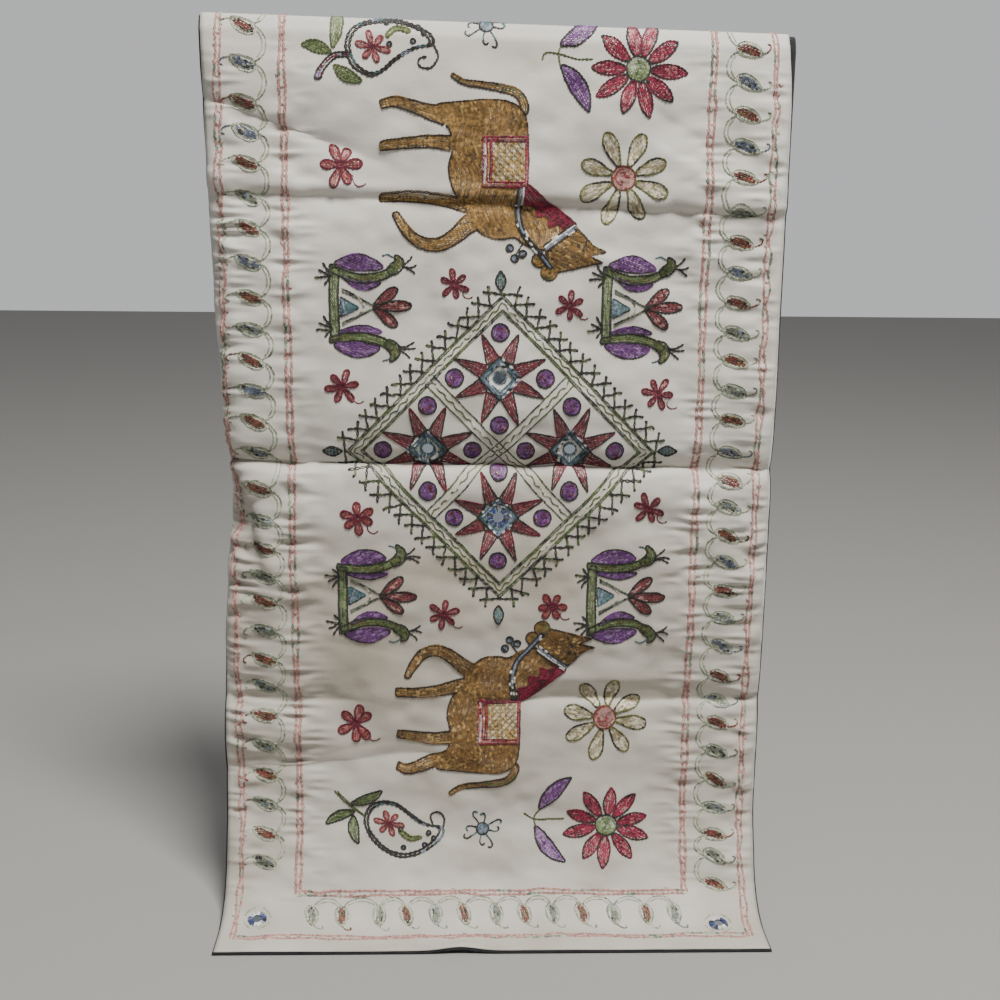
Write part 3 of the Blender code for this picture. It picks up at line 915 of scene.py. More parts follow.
    def build(self):
        """The joined mesh, laid on the face sheet."""
        rows = np.concatenate(self.parts)
        start, end = rows[:, 0:2] * MM, rows[:, 2:4] * MM
        size = rows[:, 4]
        side = left_of(unit(end - start)) * (STRAND_SPREAD * MM * size)[:, None]
        verts, quads, slots = [], [], []
        for strand in (-1, 1):
            flat = np.stack([
                start + (end - start) * share + side * (strand * spread)
                for share, spread, _ in LOOP_STATIONS
            ], 1)
            lift = np.repeat((rows[:, 5:6] - STITCH_SINK) * MM, len(LOOP_STATIONS), 1)
            points, normals = on_cloth(flat, lift)
            crest = np.array([rise for _, _, rise in LOOP_STATIONS])[None] * size[:, None]
            v, q = strand_mesh_arrays(points, normals, size * STRAND_RADIUS * MM, crest * STITCH_CREST * MM)
            quads.append(q + sum(len(part) for part in verts))
            verts.append(v)
            slots.append(np.repeat(rows[:, 6].astype(int), len(q) // len(rows)))
        used = sorted(set(slots[0]))
        obj = new_mesh(self.name, np.concatenate(verts), np.concatenate(quads))
        for slot in used:
            obj.data.materials.append(thread_material(THREAD_NAMES[slot]))
        local = np.searchsorted(used, np.concatenate(slots)).astype(np.int32)
        obj.data.polygons.foreach_set("material_index", local)
        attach(obj, "root")
        return obj


def thread_material(name):
    """The material of a thread, made once."""
    label = name + " thread"
    return bpy.data.materials.get(label) or thread(label, THREADS[name])


# Motifs, in millimetres of cloth


def wavering(start, end, offset, reach, seed):
    """A hand-stitched line between two places that wavers to both sides."""
    start, end = np.asarray(start, float), np.asarray(end, float)
    length = np.linalg.norm(end - start)
    along = np.linspace(0, length, int(length / 2) + 2)
    ahead = (end - start) / length
    sway = offset + reach * lattice_noise(along / 11.0, along * 0 + seed, 50)
    return start + ahead * along[:, None] + left_of(ahead) * sway[:, None]


# Frames of double chain lines: half width, half length, distance of the two chains, waver, size
FRAMES = ((145.6, 340.5, 3.4, 1.0, 1.5), (189.0, 383.5, 2.9, 1.4, 1.25))
LINK_SPACING = 8.5


def border_frames():
    """Two frames of double lines with short links between them."""
    work = Needlework("border_lines", 1)
    for half_width, half_length, apart, reach, size in FRAMES:
        corners = ((-1, -1), (1, -1), (1, 1), (-1, 1))
        for number, (a, b) in enumerate(zip(corners, corners[1:] + corners[:1])):
            start = (a[0] * half_width, a[1] * half_length)
            end = (b[0] * half_width, b[1] * half_length)
            for chain, offset in enumerate((-apart / 2, apart / 2)):
                seed = number * 3 + chain * 1.7 + half_width
                work.chain(wavering(start, end, offset, reach, seed), "salmon",
                           second=("pale green", "grey green"), share=0.14, size=size)
            length = math.dist(start, end)
            for place in np.arange(6, length - 4, LINK_SPACING):
                middle = np.asarray(start) + (np.asarray(end) - start) * (place / length)
                jog = work.random.normal(0, 1.2, 2)
                hook = middle + jog + np.array(((-1.4, -1.0), (0.6, 0.9), (1.5, -0.4)))
                work.chain(smooth(hook), "salmon" if place % 4 < 2.6 else "pale green", size=0.95)
    work.build()


# Places of the border leaves along each side and the thread of their hearts: r red, b blue,
# s rust and g grey
LEFT_ROWS = (-291, -267, -243, -221, -201, -179, -158, -135, -111, -89, -67, -46, -24, -2, 26, 49, 70,
             91, 110, 133, 155, 177, 200, 223, 249, 271, 294, 315)
LEFT_HEARTS = "rbrbrgrbsgrbsgsgsgsgsgsgrgrg"
RIGHT_ROWS = (-279, -258, -237, -216, -195, -173, -151, -130, -109, -88, -68, -47, -26, -2, 21, 38, 59,
              79, 101, 122, 144, 168, 190, 206, 228, 251, 274, 296, 312, 334)
RIGHT_HEARTS = "rbrbrgrbrgrgsbrgsbrgbrgrgrgrgr"
END_ROWS = (-134, -112, -84, -64, -42, -21, 3, 24, 45, 67, 91, 115, 136)
END_HEARTS = "gsgsgsgsgsgsg"
REAR_ROWS = (-336, -313)
# Shape of the loop from leaf to leaf: share of the way and how far it bulges
SCALLOP = ((0.03, 7.5), (0.14, 12.0), (0.36, 15.0), (0.64, 15.0), (0.86, 12.0), (0.97, 7.5))
SCALLOP_INSET = 2.6
HEARTS = {"r": "brick", "b": "slate", "s": "rust", "g": "grey green"}
# Widths of a leaf's filled heart and the outline of the loop round it, along and across the leaf
HEART_WIDTHS = (3.0, 6.8, 7.2, 5.6, 1.6)
LEAF_LOOP = ((-9.5, 0), (-6, -3.9), (0, -4.9), (6, -3.5), (10.5, 0.6), (5, 3.7), (0, 4.6), (-6, 4.1))


def border_leaf(work, place, turn, heart, seed):
    """One leaf of the border: a filled heart in a pale loop with a curled tail.

    The turn is the way its tail points, in degrees from +u.
    """
    random = np.random.default_rng(seed)
    ahead = toward(turn + random.normal(0, 5))

    def at(points):
        points = np.asarray(points, float)
        return np.asarray(place, float) + points[:, :1] * ahead + points[:, 1:] * left_of(ahead)

    bend = random.uniform(0.6, 1.6)
    heart_line = at(((-8, 0), (-2.5, -bend * 0.4), (3, 0), (8.5, bend * 0.8)))
    work.stroke(heart_line, HEART_WIDTHS, HEARTS[heart], step=1.3,
                second=("brown", "bronze") if heart in "rs" else ("charcoal", "grey blue", "pale green"),
                share=0.4)
    work.outline(at(LEAF_LOOP), "pale green", size=0.75, second="grey green", share=0.25)
    work.outline(at(np.array(LEAF_LOOP) * (0.84, 0.76) + (0.6, 0.3)), "pale green", size=0.7)
    tail = at(((8.5, bend * 0.8), (11.5, -0.8), (14.5, -3.4), (15.0, -6.6), (12.0, -6.6)))
    work.chain(smooth(tail), HEARTS[heart] if random.random() < 0.5 else "pale green", size=0.9,
               second=("pale green", "grey green"), share=0.3)


def scallop(work, start, end, inwards):
    """A thin loop from one leaf to the next that bulges towards the middle of the cloth."""
    start, end = np.asarray(start, float), np.asarray(end, float)
    path = [start + (end - start) * share + np.array(inwards) * bulge for share, bulge in SCALLOP]
    work.chain(smooth(path), "pale green", size=0.9, second="grey green", share=0.15)
    inner_path = [point - np.array(inwards) * SCALLOP_INSET for point in path[1:-1]]
    work.chain(smooth(inner_path), "pale green", size=0.8)


def border_leaves():
    """The leaves along the four sides and the curls round the corner mirrors."""
    work = Needlework("border_leaves", 2)
    seed = 100
    sides = (
        (-171.5, LEFT_ROWS, LEFT_HEARTS, 200),
        (169.5, RIGHT_ROWS, RIGHT_HEARTS, 20),
    )
    for u, rows, hearts, turn in sides:
        rows = tuple(REAR_ROWS) + rows
        hearts = "rg" + hearts
        places = []
        for v, heart in zip(rows, hearts):
            seed += 1
            sway = 4.5 * math.exp(-((v - 100) / 90) ** 2) if u < 0 else 0.0
            places.append((u + sway, v))
            border_leaf(work, places[-1], turn, heart, seed)
        for start, end in zip(places, places[1:]):
            scallop(work, start, end, (-math.copysign(1, u), 0))
    for v, turn in ((359.5, 78), (-359.5, -78)):
        for u, heart in zip(END_ROWS, END_HEARTS):
            seed += 1
            border_leaf(work, (u, v), turn, heart, seed)
        for start, end in zip(END_ROWS, END_ROWS[1:]):
            scallop(work, (start, v), (end, v), (0, -math.copysign(1, v)))
    for u, v in MIRROR_PLACES[4:]:
        for turn in (20, 110, 200, 290):
            work.chain(arc((u / MM, v / MM), 10.0, turn, turn + 62), "pale green", size=0.8)
    work.build()


# Middle of the four stars, their distance from it and the middle of the diamond
STAR_MM = (2.5, -4.5)
STAR_REACH = 51
DIAMOND_MM = (4.0, -3.5)
# Distance of the frame's two lines from its middle, counted along u and v together
LINES_L1 = (99.5, 109.5)
BAND_HALF = 4.5
WAVE_LENGTH = 9.0
# Small pointed buds outside the four corners, with the way they point
BUDS = (((0, -119), 90), ((1, 124), 90), ((-119, 1), 0), ((121, 0), 0))
# The crossed sticks outside the diamond: number on a side, length, lean and distance of the feet
SIDE_STICKS = 14
STICK_LENGTH = 14.5
STICK_LEAN = 42.0
STICK_SPREAD = 6.5


def crossed_sticks(work, a, b):
    """Crossed sticks with a knot at each tip, along the outside of the side between two corners."""
    ahead = (b - a) / math.sqrt(2)
    outward = (a + b) / math.sqrt(2)
    for number in range(SIDE_STICKS):
        middle = (a + (b - a) * (number + 0.5) / SIDE_STICKS) * (LINES_L1[1] + 1)
        for lean in (-1, 1):
            angle = math.radians(STICK_LEAN + work.random.normal(0, 4))
            foot = middle - ahead * lean * STICK_SPREAD
            tip = foot + (outward * math.cos(angle) + ahead * lean * math.sin(angle)) * STICK_LENGTH
            work.chain((foot, tip), "charcoal", second="green", share=0.15, size=1.3, wander=0.35)
            knot = tip + work.random.normal(0, 0.3, 2)
            work.chain(arc(knot, 0.8, 0, 300), "charcoal", size=1.05)


def diamond_field():
    """The diamond's frame with its crossed sticks, inner bands and buds."""
    work = Needlework("diamond", 3)
    work.place(*DIAMOND_MM)
    corners = np.array(((0, -1), (1, 0), (0, 1), (-1, 0)), float)
    threads = {"second": ("charcoal", "grey green"), "share": 0.5, "size": 0.9}
    waves = {"second": ("grey green", "cream", "green"), "share": 0.5, "size": 0.85}
    middle_line = sum(LINES_L1) / 2
    for a, b in zip(corners, np.roll(corners, -1, axis=0)):
        for reach in LINES_L1:
            for shift in (-0.9, 0.9):
                work.chain(np.stack((a, b)) * (reach + shift), "green", **threads)
        along = np.linspace(0, 1, 60)
        wave = middle_line + 1.7 * np.sin(along * math.dist(a, b) * middle_line / WAVE_LENGTH * 2 * np.pi)
        work.chain((a + (b - a) * along[:, None]) * wave[:, None], "olive", **waves)
        crossed_sticks(work, a, b)
    work.place(*STAR_MM)
    for turn in (45, 135):
        ahead = toward(turn)
        side = left_of(ahead)
        reach = LINES_L1[0] / math.sqrt(2)
        for offset in (-BAND_HALF / math.sqrt(2) - 0.9, BAND_HALF / math.sqrt(2) + 0.9):
            ends = np.stack((-ahead * reach, ahead * reach)) + side * offset
            work.chain(ends, "green", **threads)
        along = np.linspace(-reach, reach, 50)
        wave = 1.2 * np.sin(along / WAVE_LENGTH * 2 * np.pi)
        work.chain(ahead * along[:, None] + side * wave[:, None], "olive", **waves)
    for (u, v), turn in BUDS:
        line = np.array((u, v)) + toward(turn) * np.linspace(-7, 7, 5)[:, None]
        work.stroke(line, (0.6, 5.5, 7.5, 5.0, 0.8), "teal", "charcoal", second="grey green", share=0.3)
    work.build()


def star_field():
    """The four stars and the discs between their rays."""
    work = Needlework("stars", 4)
    dots = set()
    for du, dv in ((0, -1), (1, 0), (0, 1), (-1, 0)):
        u, v = STAR_MM[0] + STAR_REACH * du, STAR_MM[1] + STAR_REACH * dv
        angles = 22.5 + 45 * np.arange(8)
        work.petals((u, v), angles, 12, (33.5, 34.5, 33), 9.6, (1.0, 0.86, 0.62, 0.36, 0.06),
                    "dusty red", "charcoal", second="maroon", share=0.45,
                    edge_options={"size": 0.95, "lift": 0.2, "second": "maroon", "share": 0.35})
        for reach, colour in ((15.2, "charcoal"), (13.6, "teal"), (12.0, "grey blue"), (10.4, "teal")):
            diamond = np.array(((0, -reach), (reach, 0), (0, reach), (-reach, 0)))
            work.outline(diamond + (u, v), colour, rounded=False, size=0.95, lift=0.4,
                         second=("charcoal", "grey blue", "white"), share=0.35)
        for du, dv in ((0, -32), (32, 0), (0, 32), (-32, 0)):
            dots.add((round(u + du, 1), round(v + dv, 1)))
    for u, v in sorted(dots):
        work.disc((u, v), 6.3, "purple", "charcoal", second="maroon", share=0.15)
    work.build()


# Limbs and body of the camel-coloured horse that faces down the cloth to the right
HORSE_TAIL = ((-32, -261), (-24, -256), (-10, -254), (3, -252), (12, -249), (17, -242), (17, -236))
HORSE_LIMBS = (
    (((-80, -241), (-70, -243), (-58, -240), (-45, -236), (-30, -234), (-10, -234)), (5, 7, 8, 12, 17, 20)),
    (((-80, -214), (-62, -216), (-45, -217), (-30, -216), (-12, -215)), (6, 7, 8, 10, 12)),
    (((-81, -180), (-60, -181), (-40, -179), (-25, -176), (-10, -174)), (6.5, 7, 8, 10, 12)),
    (((-71, -169), (-66, -161), (-58, -152), (-48, -148), (-38, -149), (-28, -155), (-20, -162),
      (-10, -166)), (4, 6, 7, 8, 9, 10, 12, 12)),
)
HORSE_BODY = (
    (-42, -241), (-28, -243), (-8, -244.5), (8, -243), (17, -236), (20, -222), (20, -195), (17, -182),
    (28, -172), (40, -163), (48, -158), (36, -146), (22, -147), (12, -153), (2, -152), (-10, -155),
    (-20, -165), (-22, -175), (-31, -186), (-34, -200), (-31, -214), (-34, -226), (-45, -233),
)
HORSE_HEAD = (
    (32, -149), (44, -156), (54, -161), (60, -155), (66, -148), (75, -144), (68, -142.5), (62, -141.5),
    (67, -139.5), (73, -137), (64, -135), (52, -132), (42, -130), (35, -137),
)
HORSE_EARS = ((29, -138, 5.0), (36, -130, 5.8))
HORSE_MANE = (
    (19, -190), (37, -177), (55, -162), (46, -157), (43, -163), (35, -160), (35, -168), (26, -167),
    (27, -175), (18, -177),
)
HORSE_EYE = (56, -148)
HORSE_EAR_TIPS = ((75, -144), (73, -137))
HORSE_STRAP = ((16, -187), (14, -168), (19, -154), (28, -144), (37, -133))
HORSE_BRIDLE = ((54, -161), (44, -154), (33, -146))
HORSE_CHEEK = ((62, -152), (59, -144), (55, -134))
HORSE_BEADS = ((8.5, -146), (12, -139), (17.5, -142))
BEAD_STRING = ((21, -152), (16, -147), (13, -142))
# Left, top, right and bottom of the saddle cloth
SADDLE = (-11, -221, 20, -187)


def horse_body(work, body, leg_shrink):
    """Tail, legs, body, head and mane. The legs beyond the belly can be drawn in a little."""

    def shorten(points):
        points = np.array(points, float)
        low = points[:, 0] < -33
        points[low, 0] = -33 + (points[low, 0] + 33) * leg_shrink
        return points

    shades = ("bronze", "straw")
    body_outline = smooth(HORSE_BODY, True)
    head_outline = np.array(HORSE_HEAD, float)
    rim = {"size": 1.0, "lift": 0.25, "second": "bronze", "share": 0.2}
    work.stroke(HORSE_TAIL, (2.5, 3.5, 4, 5, 5, 5), body, "brown", second=("bronze", "olive"), share=0.5,
                edge_options={**rim, "avoid": (body_outline,)})
    limbs = []
    for limb, widths in HORSE_LIMBS:
        limbs.append(work.stroke(shorten(limb), widths, body, "brown", second=shades, share=0.4, run=3,
                                 edge_options={**rim, "avoid": (body_outline,)}))
    work.fill(HORSE_BODY, body, 84, 1.4, second=shades, share=0.20, run=2, lift=0.1, sway=3.2,
              streaks=("bronze", "dark gold"))
    work.outline(HORSE_BODY, "brown", **rim, avoid=(*limbs, head_outline))
    work.fill(HORSE_HEAD, body, 35, rounded=False, second=shades, share=0.25, run=2, lift=0.2,
              sway=1.0, streaks=("bronze",))
    work.outline(HORSE_HEAD, "brown", rounded=False, **rim, avoid=(body_outline,))
    for u, v, reach in HORSE_EARS:
        work.disc((u, v), reach, body, "brown", second=("olive", "bronze"), share=0.35, lift=0.25)
    work.chain(arc(HORSE_EYE, 1.2), "charcoal", size=0.7, lift=0.6)
    for tip in HORSE_EAR_TIPS:
        work.chain(((tip[0] - 4, tip[1] + 0.8), tip), "charcoal", size=1.1, lift=0.5)
    work.fill(HORSE_MANE, "crimson", 42, rounded=False, lift=0.45, second="maroon", share=0.4)
    work.outline(HORSE_MANE, "maroon", rounded=False, lift=0.6, size=0.9)


def saddle_cloth(work):
    """A cream cloth with a lattice of gold lines in a red frame."""
    left, top, right, bottom = SADDLE
    cloth = np.array(((left, top), (right, top), (right, bottom), (left, bottom)), float)
    work.fill(cloth, "cream", 90, 1.5, rounded=False, lift=0.5, second="straw", share=0.45)
    middle = np.array(((left + right) / 2 + 3, (top + bottom) / 2))
    for shift in range(-42, 43, 5):
        for lean, colour in ((1, "gold"), (-1, "sand")):
            line = middle + (shift, 0) + np.linspace(-40, 40, 200)[:, None] * (1, lean)
            inside = (line[:, 0] > left + 6.5) & (line[:, 0] < right - 2.5)
            inside &= (line[:, 1] > top + 4) & (line[:, 1] < bottom - 4)
            if inside.sum() > 6:
                work.chain(line[inside], colour, size=0.8, lift=0.8)
    for inset, colour in ((0.2, "maroon"), (1.8, "pink"), (3.3, "maroon")):
        box = np.array(((left + inset, top + inset), (right - inset * 0.4, top + inset),
                        (right - inset * 0.4, bottom - inset), (left + inset, bottom - inset)))
        work.outline(box, colour, rounded=False, size=0.95, lift=0.8, second="crimson", share=0.3)
    for u, colour in ((left + 1.4, "white"), (left + 4.9, "maroon"), (left + 6.2, "crimson")):
        work.chain(((u, top + 2), (u + 0.8, (top + bottom) / 2), (u, bottom - 2)), colour, size=1.0,
                   lift=0.85, second="maroon", share=0.15)


def harness(work):
    """The neck strap, the bridle and three beads on a string."""
    for shift, colour in ((-1.8, "charcoal"), (0.0, "grey blue"), (1.8, "charcoal")):
        strap = np.array(HORSE_STRAP) + (shift, 0)
        work.chain(smooth(strap), colour, size=1.0, lift=0.8, second=("white", "charcoal"), share=0.3)
    for shift, colour in ((-2.2, "charcoal"), (-0.7, "white"), (0.9, "grey blue"), (2.4, "charcoal")):
        bridle = np.array(HORSE_BRIDLE) + (shift * 0.5, shift * 0.85)
        work.chain(smooth(bridle), colour, size=0.95, lift=0.85, second="white", share=0.2)
    work.chain(smooth(HORSE_CHEEK), "bronze", size=0.9, lift=0.8, second="charcoal", share=0.4)
    for u, v in HORSE_BEADS:
        work.disc((u, v), 2.7, "grey blue", "charcoal", second="charcoal", share=0.3)
    work.chain(smooth(BEAD_STRING), "charcoal", size=0.9)


def horses():
    """The two horses, the lower one mirrored and shorter in its legs."""
    for name, seed, flip, body, shrink in (("upper_horse", 5, 1, "gold", 1.0),
                                           ("lower_horse", 6, -1, "dark gold", 0.82)):
        work = Needlework(name, seed)
        work.place(flip_v=flip)
        horse_body(work, body, shrink)
        saddle_cloth(work)
        harness(work)
        work.build()


ROUND_PETAL = (0.30, 0.55, 0.82, 1.0, 0.92, 0.40)
POINTED_PETAL = (0.35, 0.82, 1.0, 0.78, 0.08)


def large_flowers():
    """Two crimson and two cream flowers."""
    work = Needlework("large_flowers", 7)
    edge = {"size": 1.05, "lift": 0.2, "second": "charcoal", "share": 0.4}
    for (u, v), turn in (((94, -266), 4), ((87, 288), 20)):
        angles = turn + 36 * np.arange(10) + work.random.normal(0, 3, 10)
        work.petals((u, v), angles, 9, (34, 32, 33, 31), 9.5, POINTED_PETAL, "crimson", "maroon",
                    second=("pink", "maroon"), share=0.22, run=3, edge_options=edge)
        work.disc((u, v), 8.3, "leaf green", "charcoal", second="pale green", share=0.4)
    edge = {"size": 1.05, "lift": 0.2, "second": "charcoal", "share": 0.35}
    for (u, v), turn in (((86, -194), 22), ((84, 202), 12)):
        angles = turn + 45 * np.arange(8) + work.random.normal(0, 3, 8)
        work.petals((u, v), angles, 9, (32, 30.5, 33), 10.2, ROUND_PETAL, "cream", "olive",
                    second="sand", share=0.5, run=3, edge_options=edge)
        work.disc((u, v), 8.3, "salmon", "rust", second="coral", share=0.3)
    work.build()


def leaf(work, start, end, width, colour, edge, bend=0.0, second=None):
    """A pointed leaf from start to end, bent to one side."""
    start, end = np.asarray(start, float), np.asarray(end, float)
    side = np.array((-(end - start)[1], (end - start)[0])) * bend
    line = (start, start + (end - start) * 0.35 + side, start + (end - start) * 0.7 + side, end)
    work.stroke(line, np.array((0.15, 0.8, 1.0, 0.7, 0.08)) * width, colour, edge,
                second=second, share=0.3 if second else 0.0)


# Leaves of each sprig (start, end, width, colour, bend, second colour) and its stems
UPPER_SPRIG = (
    (((41, -281), (67, -303), 12, "purple", 0.08, "lilac"),
     ((42, -268), (61, -237), 12, "purple", -0.06, "lilac")),
    (((29, -271), (31, -276), (41, -275), (52, -272), (63, -272)), ((42, -281), (40, -276), (41, -267))),
)
LOWER_SPRIG = (
    (((36, 274), (60, 248), 11.5, "purple", -0.06, "lilac"),
     ((33, 289), (56, 316), 11, "lilac", 0.08, "purple")),
    (((24, 278), (32, 283), (44, 283), (55, 283)), ((36, 275), (32, 282), (33, 289))),
)


def sprigs():
    """The purple leaves on their stems beside the crimson flowers."""
    work = Needlework("purple_sprigs", 8)
    for leaves, stems in (UPPER_SPRIG, LOWER_SPRIG):
        for start, end, width, colour, bend, second in leaves:
            leaf(work, start, end, width, colour, "charcoal", bend, second)
        for stem in stems:
            work.chain(smooth(stem), "green")
    work.build()


# Centre and reach of the small red flowers, and the numbers of the darker and narrower ones
DARK_FLOWERS = (1, 2, 3, 4, 6, 8)
SMALL_FLOWERS = (
    (-108, -200, 15), (-30, -121, 11), (51, -107, 11), (-108, -49, 12.5), (115, -45, 12),
    (-99, 46, 12.5), (-37, 119, 12), (43, 113, 11), (111, 39, 12), (-102, 206, 15),
)


def small_flowers():
    """The small red flowers of the field."""
    work = Needlework("small_flowers", 9)
    for number, (u, v, reach) in enumerate(SMALL_FLOWERS):
        angles = 17 * number + 60 * np.arange(6) + work.random.normal(0, 5, 6)
        dark = number in DARK_FLOWERS
        colour, width, share = ("dusty red", 0.34, 0.35) if dark else ("coral", 0.43, 0.6)
        work.petals((u, v), angles, 2.0, (reach, reach * 0.9), reach * width, ROUND_PETAL, colour, "maroon",
                    second=("dusty red", "pink"), share=share, run=2)
        work.disc((u, v), 2.2, "maroon")
        hook = arc((u, v), reach * 0.35, 40, 200) + (reach * 0.9, reach * 0.55)
        work.chain(hook, "maroon", size=0.7)
    work.build()


def peacock(work, spine, wing_above, wing_below, head, feet, tip):
    """One bird: a green band with a purple wing over and under it, a round head and a split tail."""
    work.stroke(spine, (4, 5.5, 6, 5.5, 4.5), "leaf green", "charcoal", second="olive", share=0.45)
    for wing in (wing_above, wing_below):
        work.fill(wing, "purple", 20, second="lilac", share=0.25)
        work.outline(wing, "charcoal", size=0.85, lift=0.15, second="purple", share=0.3)
    work.stroke(head, (5.0, 8.0, 7.5, 4.5, 1.0), "green", "charcoal", second="olive", share=0.5, lift=0.2)
    for foot in feet:
        work.chain(smooth(foot), "charcoal", size=1.1, wander=0.2)
    work.chain(smooth(tip), "teal", size=0.85)


def peacock_pair(work):
    """Two birds on one perch with a flower of three petals between them."""
    work.stroke(((-113, -134), (-113.5, -110), (-113, -82)), (6, 6, 6), "green", "charcoal",
                second="leaf green", share=0.4)
    peacock(
        work,
        ((-115, -131), (-98, -125), (-82, -126), (-72, -131)),
        ((-113, -134), (-106, -139), (-97, -141.5), (-88, -139), (-79, -132), (-96, -130)),
        ((-108, -127), (-96, -123), (-81, -122), (-90, -117), (-100, -119)),
        ((-76, -129), (-71, -132), (-68, -136), (-71, -141)),
        (((-66, -133), (-61, -131), (-57, -128)), ((-66, -133), (-60, -132), (-56, -134)),
         ((-65, -134), (-61, -137), (-59, -140))),
        ((-71, -138), (-76, -141), (-80, -140)),
    )
    peacock(
        work,
        ((-117, -82), (-100, -84), (-84, -82), (-72, -76)),
        ((-111, -87), (-102, -91), (-91, -92), (-80, -87), (-96, -87)),
        ((-114, -79), (-100, -80), (-82, -77), (-88, -71), (-99, -69.5), (-108, -73)),
        ((-78, -80), (-73, -77), (-71, -72), (-75, -66)),
        (((-69, -77), (-63, -77), (-58, -80)), ((-69, -76), (-62, -75), (-57, -76)),
         ((-69, -75), (-64, -72), (-61, -69))),
        ((-72, -72), (-76, -68), (-80, -67)),
    )
    heart = ((-109, -112), (-96, -104.5), (-109, -98))
    work.fill(heart, "teal", 90, 1.2, rounded=False, second="grey blue", share=0.4)
    work.outline(heart, "charcoal", rounded=False, size=0.9, second="teal", share=0.5)
    for shift in (0, 1.8):
        work.outline(((-108, -118 + shift), (-84, -105), (-108, -92 - shift)), "grey green",
                     closed=False, rounded=False, second="charcoal", share=0.3)
    work.chain(smooth(((-97, -112), (-93, -105), (-97, -98))), "cream", second="grey green", share=0.5)
    for tip in ((-70, -118), (-60, -106), (-70, -91)):
        work.stroke(((-86, -105), np.add((-86, -105), np.subtract(tip, (-86, -105)) * 0.6), tip),
                    np.array(ROUND_PETAL) * 7.5, "dusty red", "charcoal", second=("salmon", "maroon"),
                    share=0.3, run=3)
    for v in (-126, -90):
        for du, dv in ((-9, -4), (-11, 1), (-6, -9), (-5, 6)):
            work.chain(((-115, v), (-115 + du * 0.5, v + dv * 0.5), (-115 + du, v + dv)), "charcoal",
                       size=1.25, wander=0.3, second="green", share=0.3)


def peacocks():
    """Four pairs of birds, the lower ones mirrored."""
    for name, seed, du, flip in (("peacocks_upper_left", 10, 0, 1), ("peacocks_upper_right", 11, 190, 1),
                                 ("peacocks_lower_left", 12, 3, -1), ("peacocks_lower_right", 13, 185, -1)):
        work = Needlework(name, seed)
        work.place(du, 0.0, 1, flip)
        peacock_pair(work)
        work.build()


# Paisleys: the outline from the neck round the belly to the curled tip
UPPER_PAISLEY = (
    (-102, -273), (-98, -265), (-88, -259.5), (-79, -262), (-71, -269), (-60, -276), (-52, -279),
    (-44, -280), (-46, -285.5), (-54, -291), (-68, -295.5), (-84, -295.5), (-97, -291), (-103, -282),
)
LOWER_PAISLEY = (
    (-96, 280), (-92, 272), (-83, 268), (-72, 270), (-62, 278), (-50, 287), (-37, 290), (-39, 298),
    (-50, 307), (-65, 312), (-80, 308), (-91, 298), (-96, 288),
)


def paisley(work, outline, curl, flower, sprig):
    """A paisley's double outline, curl, flower, sprig and dots."""
    middle = np.mean(outline, axis=0)
    for scale in (1.0, 0.91):
        shape = middle + (np.array(outline, float) - middle) * scale
        work.outline(shape, "charcoal", size=1.45, second=("teal", "grey blue"), share=0.12)
    work.chain(smooth(curl), "charcoal", size=1.2)
    angles = 12 + 60 * np.arange(6)
    work.petals(flower, angles, 2.0, (12, 10.5, 9.5), 4.0, ROUND_PETAL, "pink", "dusty red",
                second="salmon", share=0.5, run=3)
    work.disc(flower, 1.8, "maroon")
    work.stroke(sprig, (2.0, 3.2, 3.0, 2.0), "leaf green", "olive")
    tip = np.asarray(sprig[-1], float)
    for du, dv in ((5, -3), (9, 1), (-16, -6), (-14, 8), (2, 6)):
        work.disc(tip + (du, dv), 1.8, "grey blue", "charcoal")


def paisleys():
    """A paisley near each end with its leaves."""
    work = Needlework("paisleys", 14)
    paisley(work, UPPER_PAISLEY,
            ((-44, -280), (-41, -272), (-46, -265), (-54, -266), (-54, -271), (-49, -272)),
            (-85, -278), ((-76, -285), (-69, -290), (-60, -288)))
    for start, end in (((-112, -277), (-111, -309)), ((-113, -274), (-133, -279)),
                       ((-111, -266), (-92, -256))):
        leaf(work, start, end, 8.5, "leaf green", "green", 0.07, "olive")
    work.stroke(((-101, -273), (-111, -272), (-119, -264), (-122, -257)), (2.5, 3.5, 3.5, 4.0), "maroon",
                "charcoal", second=("purple", "grey blue"), share=0.4)
    paisley(work, LOWER_PAISLEY, ((-37, 290), (-36, 282), (-41, 277), (-47, 280), (-45, 287)),
            (-78, 286), ((-70, 292), (-62, 298), (-53, 297)))
    for start, end in (((-107, 270), (-83, 259)), ((-104, 277), (-126, 287)), ((-105, 280), (-101, 302))):
        leaf(work, start, end, 8.0, "green", "charcoal", 0.07, "leaf green")
    for shift in (0, 2):
        work.chain(smooth(((-119 + shift, 260), (-107 + shift, 273), (-96, 281))), "green")
    work.build()


def small_stars():
    """The small grey-blue stars with curled rays near each end."""
    work = Needlework("small_stars", 15)
    for u, v in ((-9, -293), (-7, 291)):
        work.disc((u, v), 4.6, "grey blue", "charcoal", second="teal", share=0.4)
        for number in range(8):
            ahead = toward(45 * number + 12)
            side = left_of(ahead) * (1 if number % 2 else -1)
            reach = 13.5 if number % 2 else 10.5
            ray = ((5, 0), (reach, 0), (reach + 2, 2.5), (reach, 4))
            path = [np.array((u, v)) + ahead * along + side * across for along, across in ray]
            work.chain(smooth(path), "charcoal", size=1.0, second="teal", share=0.3)
    work.build()


# The mirrors in the order of their places, and the main thread of the ring that holds each
MIRROR_RINGS = (
    ("star_mirror_upper", "teal"),
    ("star_mirror_lower", "blue"),
    ("star_mirror_left", "teal"),
    ("star_mirror_right", "teal"),
    ("corner_mirror_front_left", "blue"),
    ("corner_mirror_front_right", "blue"),
    ("corner_mirror_rear_left", "blue"),
    ("corner_mirror_rear_right", "blue"),
)
RING_STITCHES = 34
